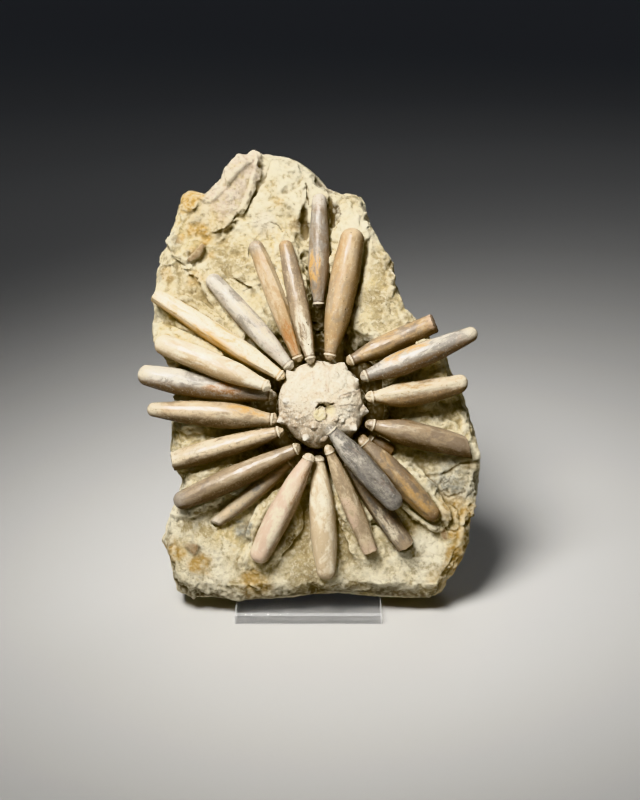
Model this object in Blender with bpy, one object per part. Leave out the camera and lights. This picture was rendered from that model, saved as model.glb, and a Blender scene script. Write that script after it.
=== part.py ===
"""Fossil sea urchin with club-shaped spines, on its slab of limestone, leaning on a clear acrylic stand.

The slab, the shell and the spines are laid out on the slab's own face: u runs to the right along the face,
v runs up along it, and w is the height out of the face, all in millimetres from the middle of the shell.
The whole face is then leaned back and set on the stand. World units are metres, +Z up, and the origin is
the middle of the stand's underside.
"""

import math
from collections import namedtuple

import bmesh
import bpy
from mathutils import Euler, Matrix, Vector, noise

MM = 0.001
GAP = 0.3  # clearance between pieces that touch
BED_GAP = 0.36  # the same, between a spine and the rock, at the corners of their ten sides

# Driving dimensions, in millimetres and degrees
LEAN = 20.0  # how far the slab leans back from upright
SLAB_THICKNESS = 26.0
SHELL_RADIUS = 15.0
SHELL_BASE = 0.0  # height of the shell's underside over the face
SHELL_WAIST = 6.0  # height of the shell's widest ring
SHELL_DOME = 8.6  # rise from the widest ring to the top

STAND_WIDTH = 51.0
STAND_DEPTH = 80.0
STAND_SHEET = 4.0  # thickness of the acrylic sheet
BACKREST_LENGTH = 78.0
STAND_BEVEL = 0.4

FACE_ORIGIN = (4.3, -14.0, 71.2)  # where the middle of the shell meets the slab's datum plane

SPINE_SIDES = 10
SHAFT_RINGS = 4
SLAB_TRIANGLES = 1950
SHELL_TRIANGLES = 1250

# Each spine: its base and tip on the face, the height of its axis at both, its greatest thickness, where along it
# that is, how thick its tip is as a share of that, how far its middle bows to the left of base-to-tip, the length
# of its socket cone, and its end.
Spine = namedtuple("Spine", "name base tip base_height tip_height thick fattest tip_share bow cone end")

SPINES = [
    Spine("spine_top_loose", (-0.8, 33.2), (-0.5, 72.7), 3.4, 1.2, 7.3, 0.38, 0.62, 0.0, 1.6, "round"),
    Spine("spine_top_stout", (2.7, 15.2), (11.3, 60.4), 8.2, 4.6, 10.0, 0.60, 0.72, 0.0, 2.0, "round"),
    Spine("spine_right_1", (8.6, 14.4), (39.7, 28.4), 6.2, 4.0, 7.5, 0.50, 0.90, 0.0, 2.2, "broken"),
    Spine("spine_right_2", (13.4, 9.1), (53.0, 25.0), 8.6, 7.8, 8.6, 0.42, 0.52, -0.5, 2.2, "round"),
    Spine("spine_right_3", (15.0, 2.6), (50.1, 8.0), 6.8, 5.0, 8.5, 0.42, 0.66, -1.2, 2.8, "round"),
    Spine("spine_right_4", (15.0, -6.3), (52.7, -15.1), 6.8, 2.6, 9.0, 0.42, 0.74, 0.0, 3.2, "broken"),
    Spine("spine_right_5", (12.9, -10.8), (39.7, -39.0), 8.0, 3.6, 8.2, 0.55, 0.60, 0.0, 3.2, "round"),
    Spine("spine_over_shell", (2.0, -6.9), (26.3, -34.6), 16.4, 12.0, 8.3, 0.55, 0.78, 0.0, 2.4, "round"),
    Spine("spine_under", (8.5, -18.3), (29.4, -48.9), 4.0, 3.4, 7.6, 0.55, 0.88, 0.0, 2.0, "broken"),
    Spine("spine_low_1", (2.0, -13.4), (17.1, -50.5), 9.4, 3.6, 6.5, 0.60, 0.78, 0.0, 3.2, "broken"),
    Spine("spine_low_2", (-0.9, -17.1), (2.0, -59.9), 3.8, 2.8, 9.2, 0.60, 0.58, 0.0, 2.0, "round"),
    Spine("spine_low_3", (-3.4, -16.5), (-22.2, -53.7), 8.6, 4.2, 8.8, 0.62, 0.72, 0.0, 2.2, "round"),
    Spine("spine_low_4", (-9.2, -18.8), (-37.3, -41.7), 3.4, 0.8, 5.8, 0.45, 0.62, 0.0, 2.0, "broken"),
    Spine("spine_left_1", (-6.8, -14.1), (-50.1, -33.7), 8.0, 4.4, 8.3, 0.58, 0.70, 0.4, 2.2, "round"),
    Spine("spine_left_2", (-12.6, -8.7), (-51.3, -19.5), 6.6, 3.2, 7.8, 0.70, 0.82, 0.0, 2.2, "broken"),
    Spine("spine_left_3", (-14.6, -5.0), (-59.3, -1.4), 7.0, 5.4, 8.9, 0.45, 0.46, 0.0, 2.4, "round"),
    Spine("spine_left_4", (-15.1, 3.0), (-62.6, 10.8), 4.5, 4.6, 8.9, 0.70, 0.66, 0.6, 2.6, "round"),
    Spine("spine_left_5", (-16.9, 5.8), (-56.4, 21.7), 11.2, 6.2, 8.2, 0.52, 0.80, 0.0, 2.2, "round"),
    Spine("spine_left_6", (-12.3, 9.0), (-56.8, 37.8), 7.2, 4.2, 7.2, 0.42, 0.72, 0.0, 2.2, "broken"),
    Spine("spine_left_7", (-9.9, 12.2), (-38.5, 44.3), 8.2, 3.2, 7.4, 0.52, 0.70, 0.0, 2.0, "round"),
    Spine("spine_top_1", (-7.5, 14.6), (-23.1, 56.2), 5.0, 2.8, 6.7, 0.52, 0.72, -0.4, 2.0, "round"),
    Spine("spine_top_2", (-3.2, 13.7), (-12.5, 56.4), 10.8, 3.4, 6.7, 0.50, 0.66, 0.0, 2.4, "round"),
    Spine("spine_stub", (16.5, -10.6), (25.6, -16.8), 1.0, 0.4, 4.4, 0.60, 0.85, 0.0, 1.6, "broken"),
]

# Collar at a spine's base
RING_WIDTH = 0.8
RING_SHARE = 0.30  # ring radius as a share of the spine's thickness, within the two limits below
RING_RADII = (1.9, 2.35)
CONE_SHARE = 0.60  # radius of the socket end as a share of the ring's
RING_PROUD = 0.22
ROUND_END = 1.15  # length of a rounded tip as a share of its radius
BROKEN_END = 0.3

# Outline of the slab on its face, clockwise from the highest point
SLAB_OUTLINE = [
    (-24.5, 89.0), (-20.5, 87.5), (-18.0, 88.0), (-11.0, 87.0), (-7.5, 85.0), (-0.5, 79.5), (6.0, 75.0), (12.5, 74.0),
    (15.0, 72.5), (16.5, 69.5), (17.0, 64.0), (22.5, 54.0), (26.5, 49.5), (25.5, 43.5), (29.5, 34.0), (36.5, 26.0),
    (44.5, 16.0), (46.0, 11.0), (50.0, 4.0), (54.0, -7.0), (56.0, -20.5), (55.0, -34.5), (53.0, -39.5),
    (52.5, -46.0), (50.5, -54.5), (45.0, -61.5), (43.5, -65.0), (38.0, -69.0), (30.5, -68.0), (16.0, -67.5),
    (4.5, -66.5), (-14.5, -68.5), (-22.5, -69.0), (-32.0, -68.0), (-45.0, -69.0), (-51.5, -65.5), (-53.0, -55.5),
    (-54.5, -50.0), (-56.5, -47.5), (-53.5, -39.5), (-50.0, -30.5), (-48.0, -27.0), (-52.0, -22.0), (-53.5, -14.5),
    (-52.0, -2.0), (-52.0, 6.0), (-53.5, 14.5), (-58.5, 21.5), (-59.5, 28.5), (-59.0, 38.0), (-57.0, 52.0),
    (-53.0, 59.0), (-50.5, 67.0), (-49.5, 73.0), (-45.0, 76.0), (-40.5, 73.5), (-37.5, 76.5), (-32.0, 83.0),
    (-28.0, 86.5),
]  # fmt: skip
SLAB_MIDDLE = (-2.0, 6.0)
SLAB_SPOKES = 168
SLAB_FRONT_RINGS = 54
SLAB_WALL_RINGS = 9
SLAB_BACK_RINGS = 12
RIM_WIDTH = 6.0  # how far in from the outline the front edge starts to fall away
RIM_DROP = 3.6
RIM_INSET = 1.6
WALL_TAPER = 5.0  # how much narrower the back is than the front
BACK_ROUGHNESS = 2.0  # depth of the hollows in the back, whose highest parts are level
FOOT_CLEARANCE = GAP  # height of the slab's flat foot over the base plate

# The trough cleared round the shell, and the pedestal left under it
TROUGH_DEPTH = 6.0
TROUGH_INNER = (11.5, 15.0)
TROUGH_OUTER = (21.0, 32.0)


def smoothstep(x, low, high):
    """0 below low, 1 above high and smooth between; it falls instead where low is above high."""
    t = min(1.0, max(0.0, (x - low) / (high - low)))
    return t * t * (3 - 2 * t)


def mix(a, b, t):
    return a + (b - a) * t


def ripple(u, v, size, octaves=3, layer=0.0):
    """Fractal noise from about -1 to 1 whose largest lumps are size across."""
    return noise.fractal(Vector((u / size, v / size, layer)), 0.9, 2.0, octaves)


def distance_to_line(u, v, start, end):
    """Distance from (u, v) to a stretch, and how far along the stretch its nearest point is, from 0 to 1."""
    along_u, along_v = end[0] - start[0], end[1] - start[1]
    t = ((u - start[0]) * along_u + (v - start[1]) * along_v) / (along_u**2 + along_v**2)
    t = min(1.0, max(0.0, t))
    return math.hypot(u - start[0] - t * along_u, v - start[1] - t * along_v), t


# ---------------------------------------------------------------------------------------------- spines


def spine_length(spine):
    return math.hypot(spine.tip[0] - spine.base[0], spine.tip[1] - spine.base[1], spine.tip_height - spine.base_height)


def ring_radius(spine):
    return min(RING_RADII[1], max(RING_RADII[0], RING_SHARE * spine.thick))


def shaft_radius(spine, t):
    """Radius of the smooth shaft at t, from 0 at the base to 1 at the tip, without its collar or rounded end."""
    neck, widest = ring_radius(spine) - RING_PROUD, spine.thick / 2
    if t < spine.fattest:
        return mix(neck, widest, math.sin(math.pi / 2 * t / spine.fattest) ** 0.9)
    return widest * (1 - (1 - spine.tip_share) * ((t - spine.fattest) / (1 - spine.fattest)) ** 1.8)


def spine_stations(spine, collar=True):
    """(distance from the base end, radius) of each ring of vertices, from the socket end to the tip."""
    length, ring = spine_length(spine), ring_radius(spine)
    ring_end = spine.cone + RING_WIDTH
    if collar:
        stations = [
            (0.0, ring * CONE_SHARE),
            (spine.cone, ring * 0.92),
            (spine.cone + RING_WIDTH * 0.3, ring),
            (ring_end, ring),
            (ring_end + RING_WIDTH * 0.4, shaft_radius(spine, 0.0)),
        ]
    else:
        stations = [(0.0, ring * CONE_SHARE), (spine.cone, ring), (ring_end + RING_WIDTH * 0.4, ring)]
    cap = (ROUND_END if spine.end == "round" else BROKEN_END) * shaft_radius(spine, 1.0)
    start, stop = ring_end + RING_WIDTH * 0.4, length - cap
    for i in range(1, SHAFT_RINGS + 1):
        at = mix(start, stop, i / SHAFT_RINGS)
        stations.append((at, shaft_radius(spine, at / length)))
    if spine.end == "round":
        stations.append((length - cap * 0.35, shaft_radius(spine, 1.0) * 0.72))
        stations.append((length, shaft_radius(spine, 1.0) * 0.22))
    else:
        stations.append((length, shaft_radius(spine, 1.0) * 0.78))
    return stations


def spine_axis(spine, t):
    """Point of the spine's axis at t, as (u, v, w). The bow is an even curve, deepest at mid-length."""
    across_u, across_v = -(spine.tip[1] - spine.base[1]), spine.tip[0] - spine.base[0]
    size = math.hypot(across_u, across_v)
    bow = spine.bow * 4 * t * (1 - t)
    return (
        mix(spine.base[0], spine.tip[0], t) + bow * across_u / size,
        mix(spine.base[1], spine.tip[1], t) + bow * across_v / size,
        mix(spine.base_height, spine.tip_height, t),
    )


def face_point(u, v, w):
    """A point of the slab's face in its own upright frame, in metres: the face looks towards -Y."""
    return Vector((u, -w, v)) * MM


def spine_mesh(spine, name, swell=0.0):
    """The spine as rings of vertices about its axis. A cutter has a swell, added all round, and no collar."""
    length = spine_length(spine)
    stations = spine_stations(spine, collar=not swell)
    direction = (face_point(*spine_axis(spine, 1)) - face_point(*spine_axis(spine, 0))).normalized()
    side = direction.cross(Vector((0, -1, 0))).normalized()
    up = side.cross(direction)
    mesh = bmesh.new()
    loops = []
    for i, (at, radius) in enumerate(stations):
        centre = face_point(*spine_axis(spine, at / length))
        centre += direction * swell * MM * ((i == len(stations) - 1) - (i == 0))
        loops.append(
            [
                mesh.verts.new(centre + (side * math.cos(turn) + up * math.sin(turn)) * (radius + swell) * MM)
                for turn in (2 * math.pi * k / SPINE_SIDES for k in range(SPINE_SIDES))
            ]
        )
    bridge(mesh, loops)
    mesh.faces.new(loops[0])
    mesh.faces.new(reversed(loops[-1]))
    return finished(mesh, name)


def bridge(mesh, loops):
    """Quads between each loop of vertices and the next."""
    for lower, upper in zip(loops, loops[1:]):
        count = len(lower)
        for k in range(count):
            mesh.faces.new((lower[k], lower[(k + 1) % count], upper[(k + 1) % count], upper[k]))


def finished(mesh, name):
    """The bmesh as mesh data with its faces pointing out."""
    bmesh.ops.recalc_face_normals(mesh, faces=mesh.faces)
    data = bpy.data.meshes.new(name)
    mesh.to_mesh(data)
    mesh.free()
    return data


# ----------------------------------------------------------------------------------------------- slab


def rim_reach(turn):
    """Distance from the slab's middle to its outline in the direction turn, in radians."""
    direction = (math.cos(turn), math.sin(turn))
    reach = 0.0
    for (u0, v0), (u1, v1) in zip(SLAB_OUTLINE, SLAB_OUTLINE[1:] + SLAB_OUTLINE[:1]):
        u0, v0, u1, v1 = u0 - SLAB_MIDDLE[0], v0 - SLAB_MIDDLE[1], u1 - SLAB_MIDDLE[0], v1 - SLAB_MIDDLE[1]
        cross = direction[0] * (v1 - v0) - direction[1] * (u1 - u0)
        if abs(cross) < 1e-9:
            continue
        ray = (u0 * (v1 - v0) - v0 * (u1 - u0)) / cross
        share = (u0 * direction[1] - v0 * direction[0]) / cross
        if ray > 0 and -1e-9 <= share <= 1 + 1e-9:
            reach = max(reach, ray)
    return reach


def rock_ledges(u, v):
    """The broken steps and marks of the bare rock round the urchin."""
    ragged = 2.2 * ripple(u, v, 9, 3, 5.0)
    # the upper left stands a step above the hollow that holds the left-hand spines
    height = 1.7 * smoothstep(v + 0.25 * u + ragged, 34, 38) * smoothstep(u, -8, -16)
    # the block right of the stout spine stands over the trench that holds the loose one
    block_edge = 9.0 + 0.12 * (v - 30) + ragged * 0.7
    height += 3.0 * smoothstep(u - block_edge, 0, 3.0) * smoothstep(v + ragged, 16, 21) * smoothstep(v, 76, 66)
    # raised cast of a larger fragment across the top left corner, with a sharp right-hand side
    away, along = distance_to_line(u, v, (-24.0, 92.0), (-35.0, 66.0))
    right_side = (u + 24.0) * 26.0 - (v - 92.0) * 11.0 > 0
    height += 2.6 * smoothstep(away, 7.5 if right_side else 10.0, 5.8 if right_side else 3.0) * (1 - 0.5 * along)
    height -= 0.9 * smoothstep(abs(away - 8.4), 1.3, 0.2) * right_side
    # rusty knob on the left shoulder
    height += 2.6 * smoothstep(math.hypot(u + 45.5, v - 72.0), 5.5, 2.0)
    # trench pressed by the loose spine
    away, along = distance_to_line(u, v, (-0.6, 30.0), (-0.8, 73.0))
    height -= mix(4.2, 2.2, along) * smoothstep(away, 6.8, 4.4)
    # smooth lobe and the rough lower ground on the right
    height += 1.1 * smoothstep(u + ragged, 30, 38) * smoothstep(v + ragged, -30, -24) * smoothstep(v, -8, -16)
    # step down along the bottom edge
    height -= 1.8 * smoothstep(v + 0.8 * ragged, -60.5, -64.5)
    return height


def trough(u, v):
    """Depth cleared away round the shell: none under it, and none far from it."""
    out = math.hypot(u, v)
    return TROUGH_DEPTH * smoothstep(out, *TROUGH_INNER) * smoothstep(out, TROUGH_OUTER[1], TROUGH_OUTER[0])


def spine_bed(u, v, ground):
    """The ground raised to hold the outer part of each spine about a third deep."""
    for spine in SPINES:
        away, t = distance_to_line(u, v, spine.base, spine.tip)
        radius = shaft_radius(spine, t)
        if away > 3 * radius or spine.name == "spine_over_shell":
            continue
        bed = spine_axis(spine, t)[2] - 0.55 * radius
        held = smoothstep(t, 0.35, 0.6) * smoothstep(away, 2.1 * radius, 0.8 * radius)
        ground = max(ground, mix(ground, bed, held))
    return ground


def rock_height(u, v):
    """Height of the slab's broken front face at (u, v), away from its rim."""
    ground = 0.9 * ripple(u, v, 30) + 0.8 * ripple(u, v, 11, 3, 2.0)
    ground += rock_ledges(u, v)
    ground = spine_bed(u, v, ground) - trough(u, v)
    # the flat top of the pedestal that carries the shell
    return mix(ground, SHELL_BASE - GAP, smoothstep(math.hypot(u, v), TROUGH_INNER[0] + 1, TROUGH_INNER[0]))


def slab_spoke(turn):
    """Points (u, v, w) along one spoke: out over the front, down the wall and in over the back."""
    cos, sin = math.cos(turn), math.sin(turn)
    reach = rim_reach(turn)
    points = []

    def add(out, w):
        points.append((SLAB_MIDDLE[0] + out * cos, SLAB_MIDDLE[1] + out * sin, w))

    rim_w = 0.0
    for i in range(1, SLAB_FRONT_RINGS + 1):
        out = (reach - RIM_INSET) * (i / SLAB_FRONT_RINGS) ** 0.75
        u, v = SLAB_MIDDLE[0] + out * cos, SLAB_MIDDLE[1] + out * sin
        chip = 1 + 0.45 * ripple(u, v, 14, 2, 9.0)
        fall = RIM_DROP * chip * smoothstep(reach - out, RIM_WIDTH * chip, 0.0)
        rim_w = rock_height(u, v) - fall
        add(out, rim_w)
    for i in range(1, SLAB_WALL_RINGS + 1):
        share = i / SLAB_WALL_RINGS
        rough = 1.1 * noise.fractal(Vector((cos * reach / 12, sin * reach / 12, 3 * share)), 0.9, 2.0, 3)
        out = reach - RIM_INSET * (1 - smoothstep(share, 0, 0.3)) - WALL_TAPER * share**2 + rough * smoothstep(share, 0, 0.5)
        add(out, mix(rim_w, -SLAB_THICKNESS, share))
    edge = reach - WALL_TAPER
    for i in range(1, SLAB_BACK_RINGS):
        out = edge * (1 - i / SLAB_BACK_RINGS)
        u, v = SLAB_MIDDLE[0] + out * cos, SLAB_MIDDLE[1] + out * sin
        add(out, BACK_ROUGHNESS * smoothstep(ripple(u, v, 26, 3, 20.0), 0.4, -0.6) - SLAB_THICKNESS)
    return points


def lean_rotation():
    return Euler((math.radians(-LEAN), 0, 0)).to_matrix()


def above_foot(point):
    """The point, raised along the slab to the level of its flat foot if it would reach lower."""
    lowest = (STAND_SHEET + FOOT_CLEARANCE) * MM
    height = (lean_rotation() @ point).z + FACE_ORIGIN[2] * MM
    if height < lowest:
        point = point + Vector((0, 0, (lowest - height) / math.cos(math.radians(LEAN))))
    return point


def slab_mesh():
    mesh = bmesh.new()
    spokes = [slab_spoke(-2 * math.pi * k / SLAB_SPOKES) for k in range(SLAB_SPOKES)]
    loops = [[mesh.verts.new(above_foot(face_point(*spoke[i]))) for spoke in spokes] for i in range(len(spokes[0]))]
    bridge(mesh, loops)
    ends = ((loops[0], rock_height(*SLAB_MIDDLE)), (loops[-1], -SLAB_THICKNESS))
    for loop, w in ends:
        middle = mesh.verts.new(face_point(*SLAB_MIDDLE, w))
        for k in range(SLAB_SPOKES):
            mesh.faces.new((middle, loop[k], loop[(k + 1) % SLAB_SPOKES]))
    return finished(mesh, "slab")


# ---------------------------------------------------------------------------------------------- shell

SHELL_SECTORS = 120
SHELL_RINGS = 40
SHELL_LOWEST = math.radians(130)  # where the shell meets its pedestal, measured from its top
# Radius of the waist every 15 degrees, anticlockwise from +u
SHELL_REACH = (
    14.7, 14.7, 14.3, 14.9, 15.2, 14.9, 14.9, 15.1, 15.1, 15.3, 14.9, 14.7,
    14.6, 14.5, 14.3, 14.0, 14.3, 15.0, 14.6, 13.2, 13.8, 14.8, 15.1, 14.8,
)  # fmt: skip
# Knobs that carried the spines: place on the face, how far they stand out, and radius
SHELL_KNOBS = [
    ((-11.8, 1.2), 0.9, 1.9), ((-13.4, -5.1), 1.2, 1.8), ((-5.0, -10.6), 1.1, 1.6), ((10.4, -7.4), 1.5, 2.0),
    ((14.7, -2.2), 1.3, 1.7), ((11.6, 7.6), 0.9, 1.8), ((7.4, 13.2), 1.3, 1.6), ((-1.9, 14.0), 0.8, 1.6),
    ((-10.2, 10.8), 1.0, 1.7), ((-2.6, -7.2), 0.5, 1.7), ((-5.4, -3.6), 0.35, 1.6), ((5.0, 10.4), 0.4, 1.8),
    ((-4.6, 8.8), 0.35, 1.7), ((9.5, 1.2), 0.35, 1.8), ((-8.4, -7.0), 0.6, 1.5), ((1.2, -11.6), 0.6, 1.6),
]  # fmt: skip
MOUTH = (1.6, -2.4)  # middle on the face
MOUTH_RADIUS = 3.7
MOUTH_DEPTH = 1.7
SOCKET_ROOM = 0.8  # kept clear round the end of each spine's base


def shell_reach(turn):
    """Radius of the waist in the direction turn, in radians."""
    step = math.degrees(turn) % 360 / 15
    before = int(step) % len(SHELL_REACH)
    after = (before + 1) % len(SHELL_REACH)
    return mix(SHELL_REACH[before], SHELL_REACH[after], smoothstep(step % 1, 0, 1))


def shell_point(polar, turn):
    """Point (u, v, w) of the plain shell: polar is 0 at the top and 90 degrees at the waist."""
    if polar < math.pi / 2:
        flat, rise = math.sin(polar) ** 0.92, SHELL_DOME * math.cos(polar)
    else:
        flat, rise = math.sin(polar), (SHELL_WAIST - SHELL_BASE) * math.cos(polar) / -math.cos(SHELL_LOWEST)
    reach = shell_reach(turn) * flat
    return Vector((reach * math.cos(turn), reach * math.sin(turn), SHELL_WAIST + rise))


def shell_height(u, v):
    """Height of the plain dome over (u, v)."""
    share = min(1.0, math.hypot(u, v) / shell_reach(math.atan2(v, u))) ** (1 / 0.92)
    return SHELL_WAIST + SHELL_DOME * math.sqrt(1 - share * share)


def clear_of_sockets(point):
    """The point, moved away from the end of any spine that stands closer than its socket needs."""
    for spine in SPINES:
        socket = Vector(spine_axis(spine, 0))
        room = ring_radius(spine) * CONE_SHARE + SOCKET_ROOM
        if (point - socket).length < room:
            point = socket + (point - socket).normalized() * room
    return point


def shell_mesh():
    mesh = bmesh.new()
    knobs = [(Vector((u, v, shell_height(u, v))), rise, radius) for (u, v), rise, radius in SHELL_KNOBS]
    centre = Vector((0, 0, SHELL_WAIST - 3))
    loops = []
    for i in range(1, SHELL_RINGS + 1):
        loop = []
        for k in range(SHELL_SECTORS):
            point = shell_point(SHELL_LOWEST * i / SHELL_RINGS, 2 * math.pi * k / SHELL_SECTORS)
            outward = (point - centre).normalized()
            stand_out = sum(
                rise * smoothstep((point - middle).length, radius, radius * 0.15) for middle, rise, radius in knobs
            )
            if i < SHELL_RINGS / 2:
                away = math.hypot(point.x - MOUTH[0], point.y - MOUTH[1])
                stand_out -= MOUTH_DEPTH * smoothstep(away, MOUTH_RADIUS, MOUTH_RADIUS * 0.6)
            if i < SHELL_RINGS:
                point = clear_of_sockets(point + outward * stand_out)
            loop.append(mesh.verts.new(face_point(point.x, point.y, max(SHELL_BASE, point.z))))
        loops.append(loop)
    bridge(mesh, loops)
    mesh.faces.new(loops[-1])
    top = mesh.verts.new(face_point(0, 0, SHELL_WAIST + SHELL_DOME - 1.0))
    for k in range(SHELL_SECTORS):
        mesh.faces.new((top, loops[0][k], loops[0][(k + 1) % SHELL_SECTORS]))
    return finished(mesh, "shell")


# ------------------------------------------------------------------------------------ objects and stand


def material(name, colour, roughness, transmission=0.0):
    made = bpy.data.materials.new(name)
    made.use_nodes = True
    surface = made.node_tree.nodes["Principled BSDF"]
    surface.inputs["Base Color"].default_value = (*colour, 1)
    surface.inputs["Roughness"].default_value = roughness
    surface.inputs["Metallic"].default_value = 0.0
    surface.inputs["Transmission Weight"].default_value = transmission
    return made


def add_object(name, data, surface, parent=None):
    obj = bpy.data.objects.new(name, data)
    bpy.context.scene.collection.objects.link(obj)
    if surface:
        data.materials.append(surface)
    obj.parent = parent
    return obj


def hide_helper(obj):
    obj.hide_render = True
    obj.display_type = "WIRE"


def reduce_faces(obj, triangles):
    """Keeps the sharpest of the shape in about so many flat faces, as broken stone has."""
    obj.data.calc_loop_triangles()
    reduction = obj.modifiers.new("flat faces", "DECIMATE")
    reduction.ratio = triangles / len(obj.data.loop_triangles)
    reduction.use_collapse_triangulate = True


def cut_away(obj, cutters):
    for cutter in cutters:
        cut = obj.modifiers.new(f"bed of {cutter.name}", "BOOLEAN")
        cut.object = cutter
        cut.operation = "DIFFERENCE"
        cut.solver = "EXACT"


def plate_mesh(name, size):
    """A sheet with its corner at the origin, size = (x, y, z) in millimetres."""
    mesh = bmesh.new()
    bmesh.ops.create_cube(mesh, size=1)
    bmesh.ops.translate(mesh, verts=mesh.verts, vec=(0.5, 0.5, 0.5))
    bmesh.ops.scale(mesh, verts=mesh.verts, vec=Vector(size) * MM)
    return finished(mesh, name)


def polish_edges(obj):
    bevel = obj.modifiers.new("polished edges", "BEVEL")
    bevel.width = STAND_BEVEL * MM
    bevel.segments = 1
    bevel.limit_method = "ANGLE"


def make_stand(acrylic, face):
    """The base plate on the table, and the backrest that stands on it behind the slab and leans with it."""
    base = add_object("stand_base", plate_mesh("base plate", (STAND_WIDTH, STAND_DEPTH, STAND_SHEET)), acrylic)
    base.location = Vector((-STAND_WIDTH / 2, -STAND_DEPTH / 2, 0)) * MM
    polish_edges(base)

    behind = -(SLAB_THICKNESS + GAP)
    sine, cosine = math.sin(math.radians(LEAN)), math.cos(math.radians(LEAN))
    foot_front = (STAND_SHEET + GAP - FACE_ORIGIN[2] - behind * sine) / cosine
    foot_rear = (STAND_SHEET + GAP - FACE_ORIGIN[2] - (behind - STAND_SHEET) * sine) / cosine
    sheet = bmesh.new()
    left = -STAND_WIDTH / 2 - FACE_ORIGIN[0]
    top = foot_front + BACKREST_LENGTH
    side = [(behind, foot_front), (behind, top), (behind - STAND_SHEET, top), (behind - STAND_SHEET, foot_rear)]
    outline = sheet.faces.new([sheet.verts.new(face_point(left, v, w)) for w, v in side])
    made = bmesh.ops.extrude_face_region(sheet, geom=[outline])
    moved = [item for item in made["geom"] if isinstance(item, bmesh.types.BMVert)]
    bmesh.ops.translate(sheet, verts=moved, vec=(STAND_WIDTH * MM, 0, 0))
    backrest = add_object("stand_backrest", finished(sheet, "backrest"), acrylic, face)
    polish_edges(backrest)


def main():
    for obj in list(bpy.data.objects):
        bpy.data.objects.remove(obj)

    limestone = material("limestone", (0.62, 0.53, 0.37), 0.9)
    shell_stone = material("fossil shell", (0.66, 0.55, 0.43), 0.7)
    spine_stone = material("fossil spine", (0.50, 0.39, 0.29), 0.5)
    acrylic = material("clear acrylic", (0.96, 0.98, 0.98), 0.05, 1.0)

    face = bpy.data.objects.new("face", None)
    bpy.context.scene.collection.objects.link(face)
    face.matrix_world = Matrix.Translation(Vector(FACE_ORIGIN) * MM) @ lean_rotation().to_4x4()

    slab = add_object("slab", slab_mesh(), limestone, face)
    reduce_faces(slab, SLAB_TRIANGLES)
    shell = add_object("shell", shell_mesh(), shell_stone, face)
    reduce_faces(shell, SHELL_TRIANGLES)

    cutters = []
    for spine in SPINES:
        piece = add_object(spine.name, spine_mesh(spine, spine.name), spine_stone, face)
        piece.data.shade_smooth()
        piece.data.set_sharp_from_angle(angle=math.radians(35))
        cutter = add_object(f"{spine.name} bed", spine_mesh(spine, f"{spine.name} bed", BED_GAP), None, face)
        hide_helper(cutter)
        cutters.append(cutter)
    cut_away(slab, cutters)
    make_stand(acrylic, face)


main()
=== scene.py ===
"""A fossil sea urchin with club-shaped spines, on its slab of limestone, leaning on a clear acrylic stand.

Laid out as an add-on: its sizes and colours are properties, each group of pieces has an operator, and
main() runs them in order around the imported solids. The slab's face has its own frame, in millimetres from
the middle of the shell: u to the right along it, v up along it, and w out of it.
"""

import math
from collections import namedtuple

import bpy
import numpy as np
from bpy.props import FloatProperty, FloatVectorProperty, IntProperty, PointerProperty
from mathutils import Matrix, Vector, noise
from mathutils.bvhtree import BVHTree


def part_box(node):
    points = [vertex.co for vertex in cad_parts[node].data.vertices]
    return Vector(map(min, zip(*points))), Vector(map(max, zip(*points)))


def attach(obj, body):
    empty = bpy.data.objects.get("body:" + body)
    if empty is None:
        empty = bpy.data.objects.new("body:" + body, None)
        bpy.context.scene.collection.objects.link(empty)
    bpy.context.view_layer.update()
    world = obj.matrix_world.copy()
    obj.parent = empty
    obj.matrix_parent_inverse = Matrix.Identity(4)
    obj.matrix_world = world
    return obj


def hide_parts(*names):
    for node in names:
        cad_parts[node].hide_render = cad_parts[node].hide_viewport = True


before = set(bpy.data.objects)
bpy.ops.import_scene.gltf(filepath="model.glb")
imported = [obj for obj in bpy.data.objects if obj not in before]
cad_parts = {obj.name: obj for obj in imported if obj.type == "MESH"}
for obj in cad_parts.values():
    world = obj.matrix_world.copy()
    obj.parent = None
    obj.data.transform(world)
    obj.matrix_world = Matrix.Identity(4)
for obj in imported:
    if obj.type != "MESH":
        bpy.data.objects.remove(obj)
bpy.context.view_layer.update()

bl_info = {
    "name": "Fossil sea urchin",
    "version": (1, 0, 0),
    "blender": (4, 5, 0),
    "location": "3D View > Sidebar > Fossil",
    "description": "Dresses the fossil sea urchin, its rock and its stand",
    "category": "Add Mesh",
}

MM = 0.001
LEAN = math.radians(20.0)  # how far the slab leans back
SHELL_AT = Vector((4.3, -14.0, 71.2)) * MM  # where the shell's middle meets the slab's face
FACE = Matrix.Translation(SHELL_AT) @ Matrix.Rotation(-LEAN, 4, "X")

# Colours of the stone, as linear light
IVORY = (0.80, 0.745, 0.59)
CREAM = (0.63, 0.555, 0.41)
BEIGE = (0.47, 0.37, 0.24)
SAND = (0.47, 0.36, 0.18)
TAN = (0.345, 0.235, 0.118)
FAWN = (0.285, 0.215, 0.135)
TAUPE = (0.20, 0.15, 0.10)
BROWN = (0.14, 0.083, 0.038)
UMBER = (0.07, 0.042, 0.02)
PEARL = (0.53, 0.485, 0.405)
ASH = (0.25, 0.225, 0.19)
SLATE = (0.13, 0.12, 0.105)
PINK = (0.52, 0.385, 0.285)
OCHRE = (0.52, 0.30, 0.085)
RUST = (0.32, 0.14, 0.04)
OLIVE = (0.31, 0.235, 0.11)
HONEY = (0.46, 0.285, 0.11)
# Near black: real specks, and painted shade in hollows and gaps.
EARTH_AND_SHADE = (0.07, 0.045, 0.022)


# ------------------------------------------------------------------------------------- numbers and noise


def mix(a, b, t):
    return a + (b - a) * t


def smoothstep(x, low, high):
    """0 below low, 1 above high and smooth between; it falls instead where low is above high."""
    t = np.clip((x - low) / (high - low), 0.0, 1.0)
    return t * t * (3 - 2 * t)


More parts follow.
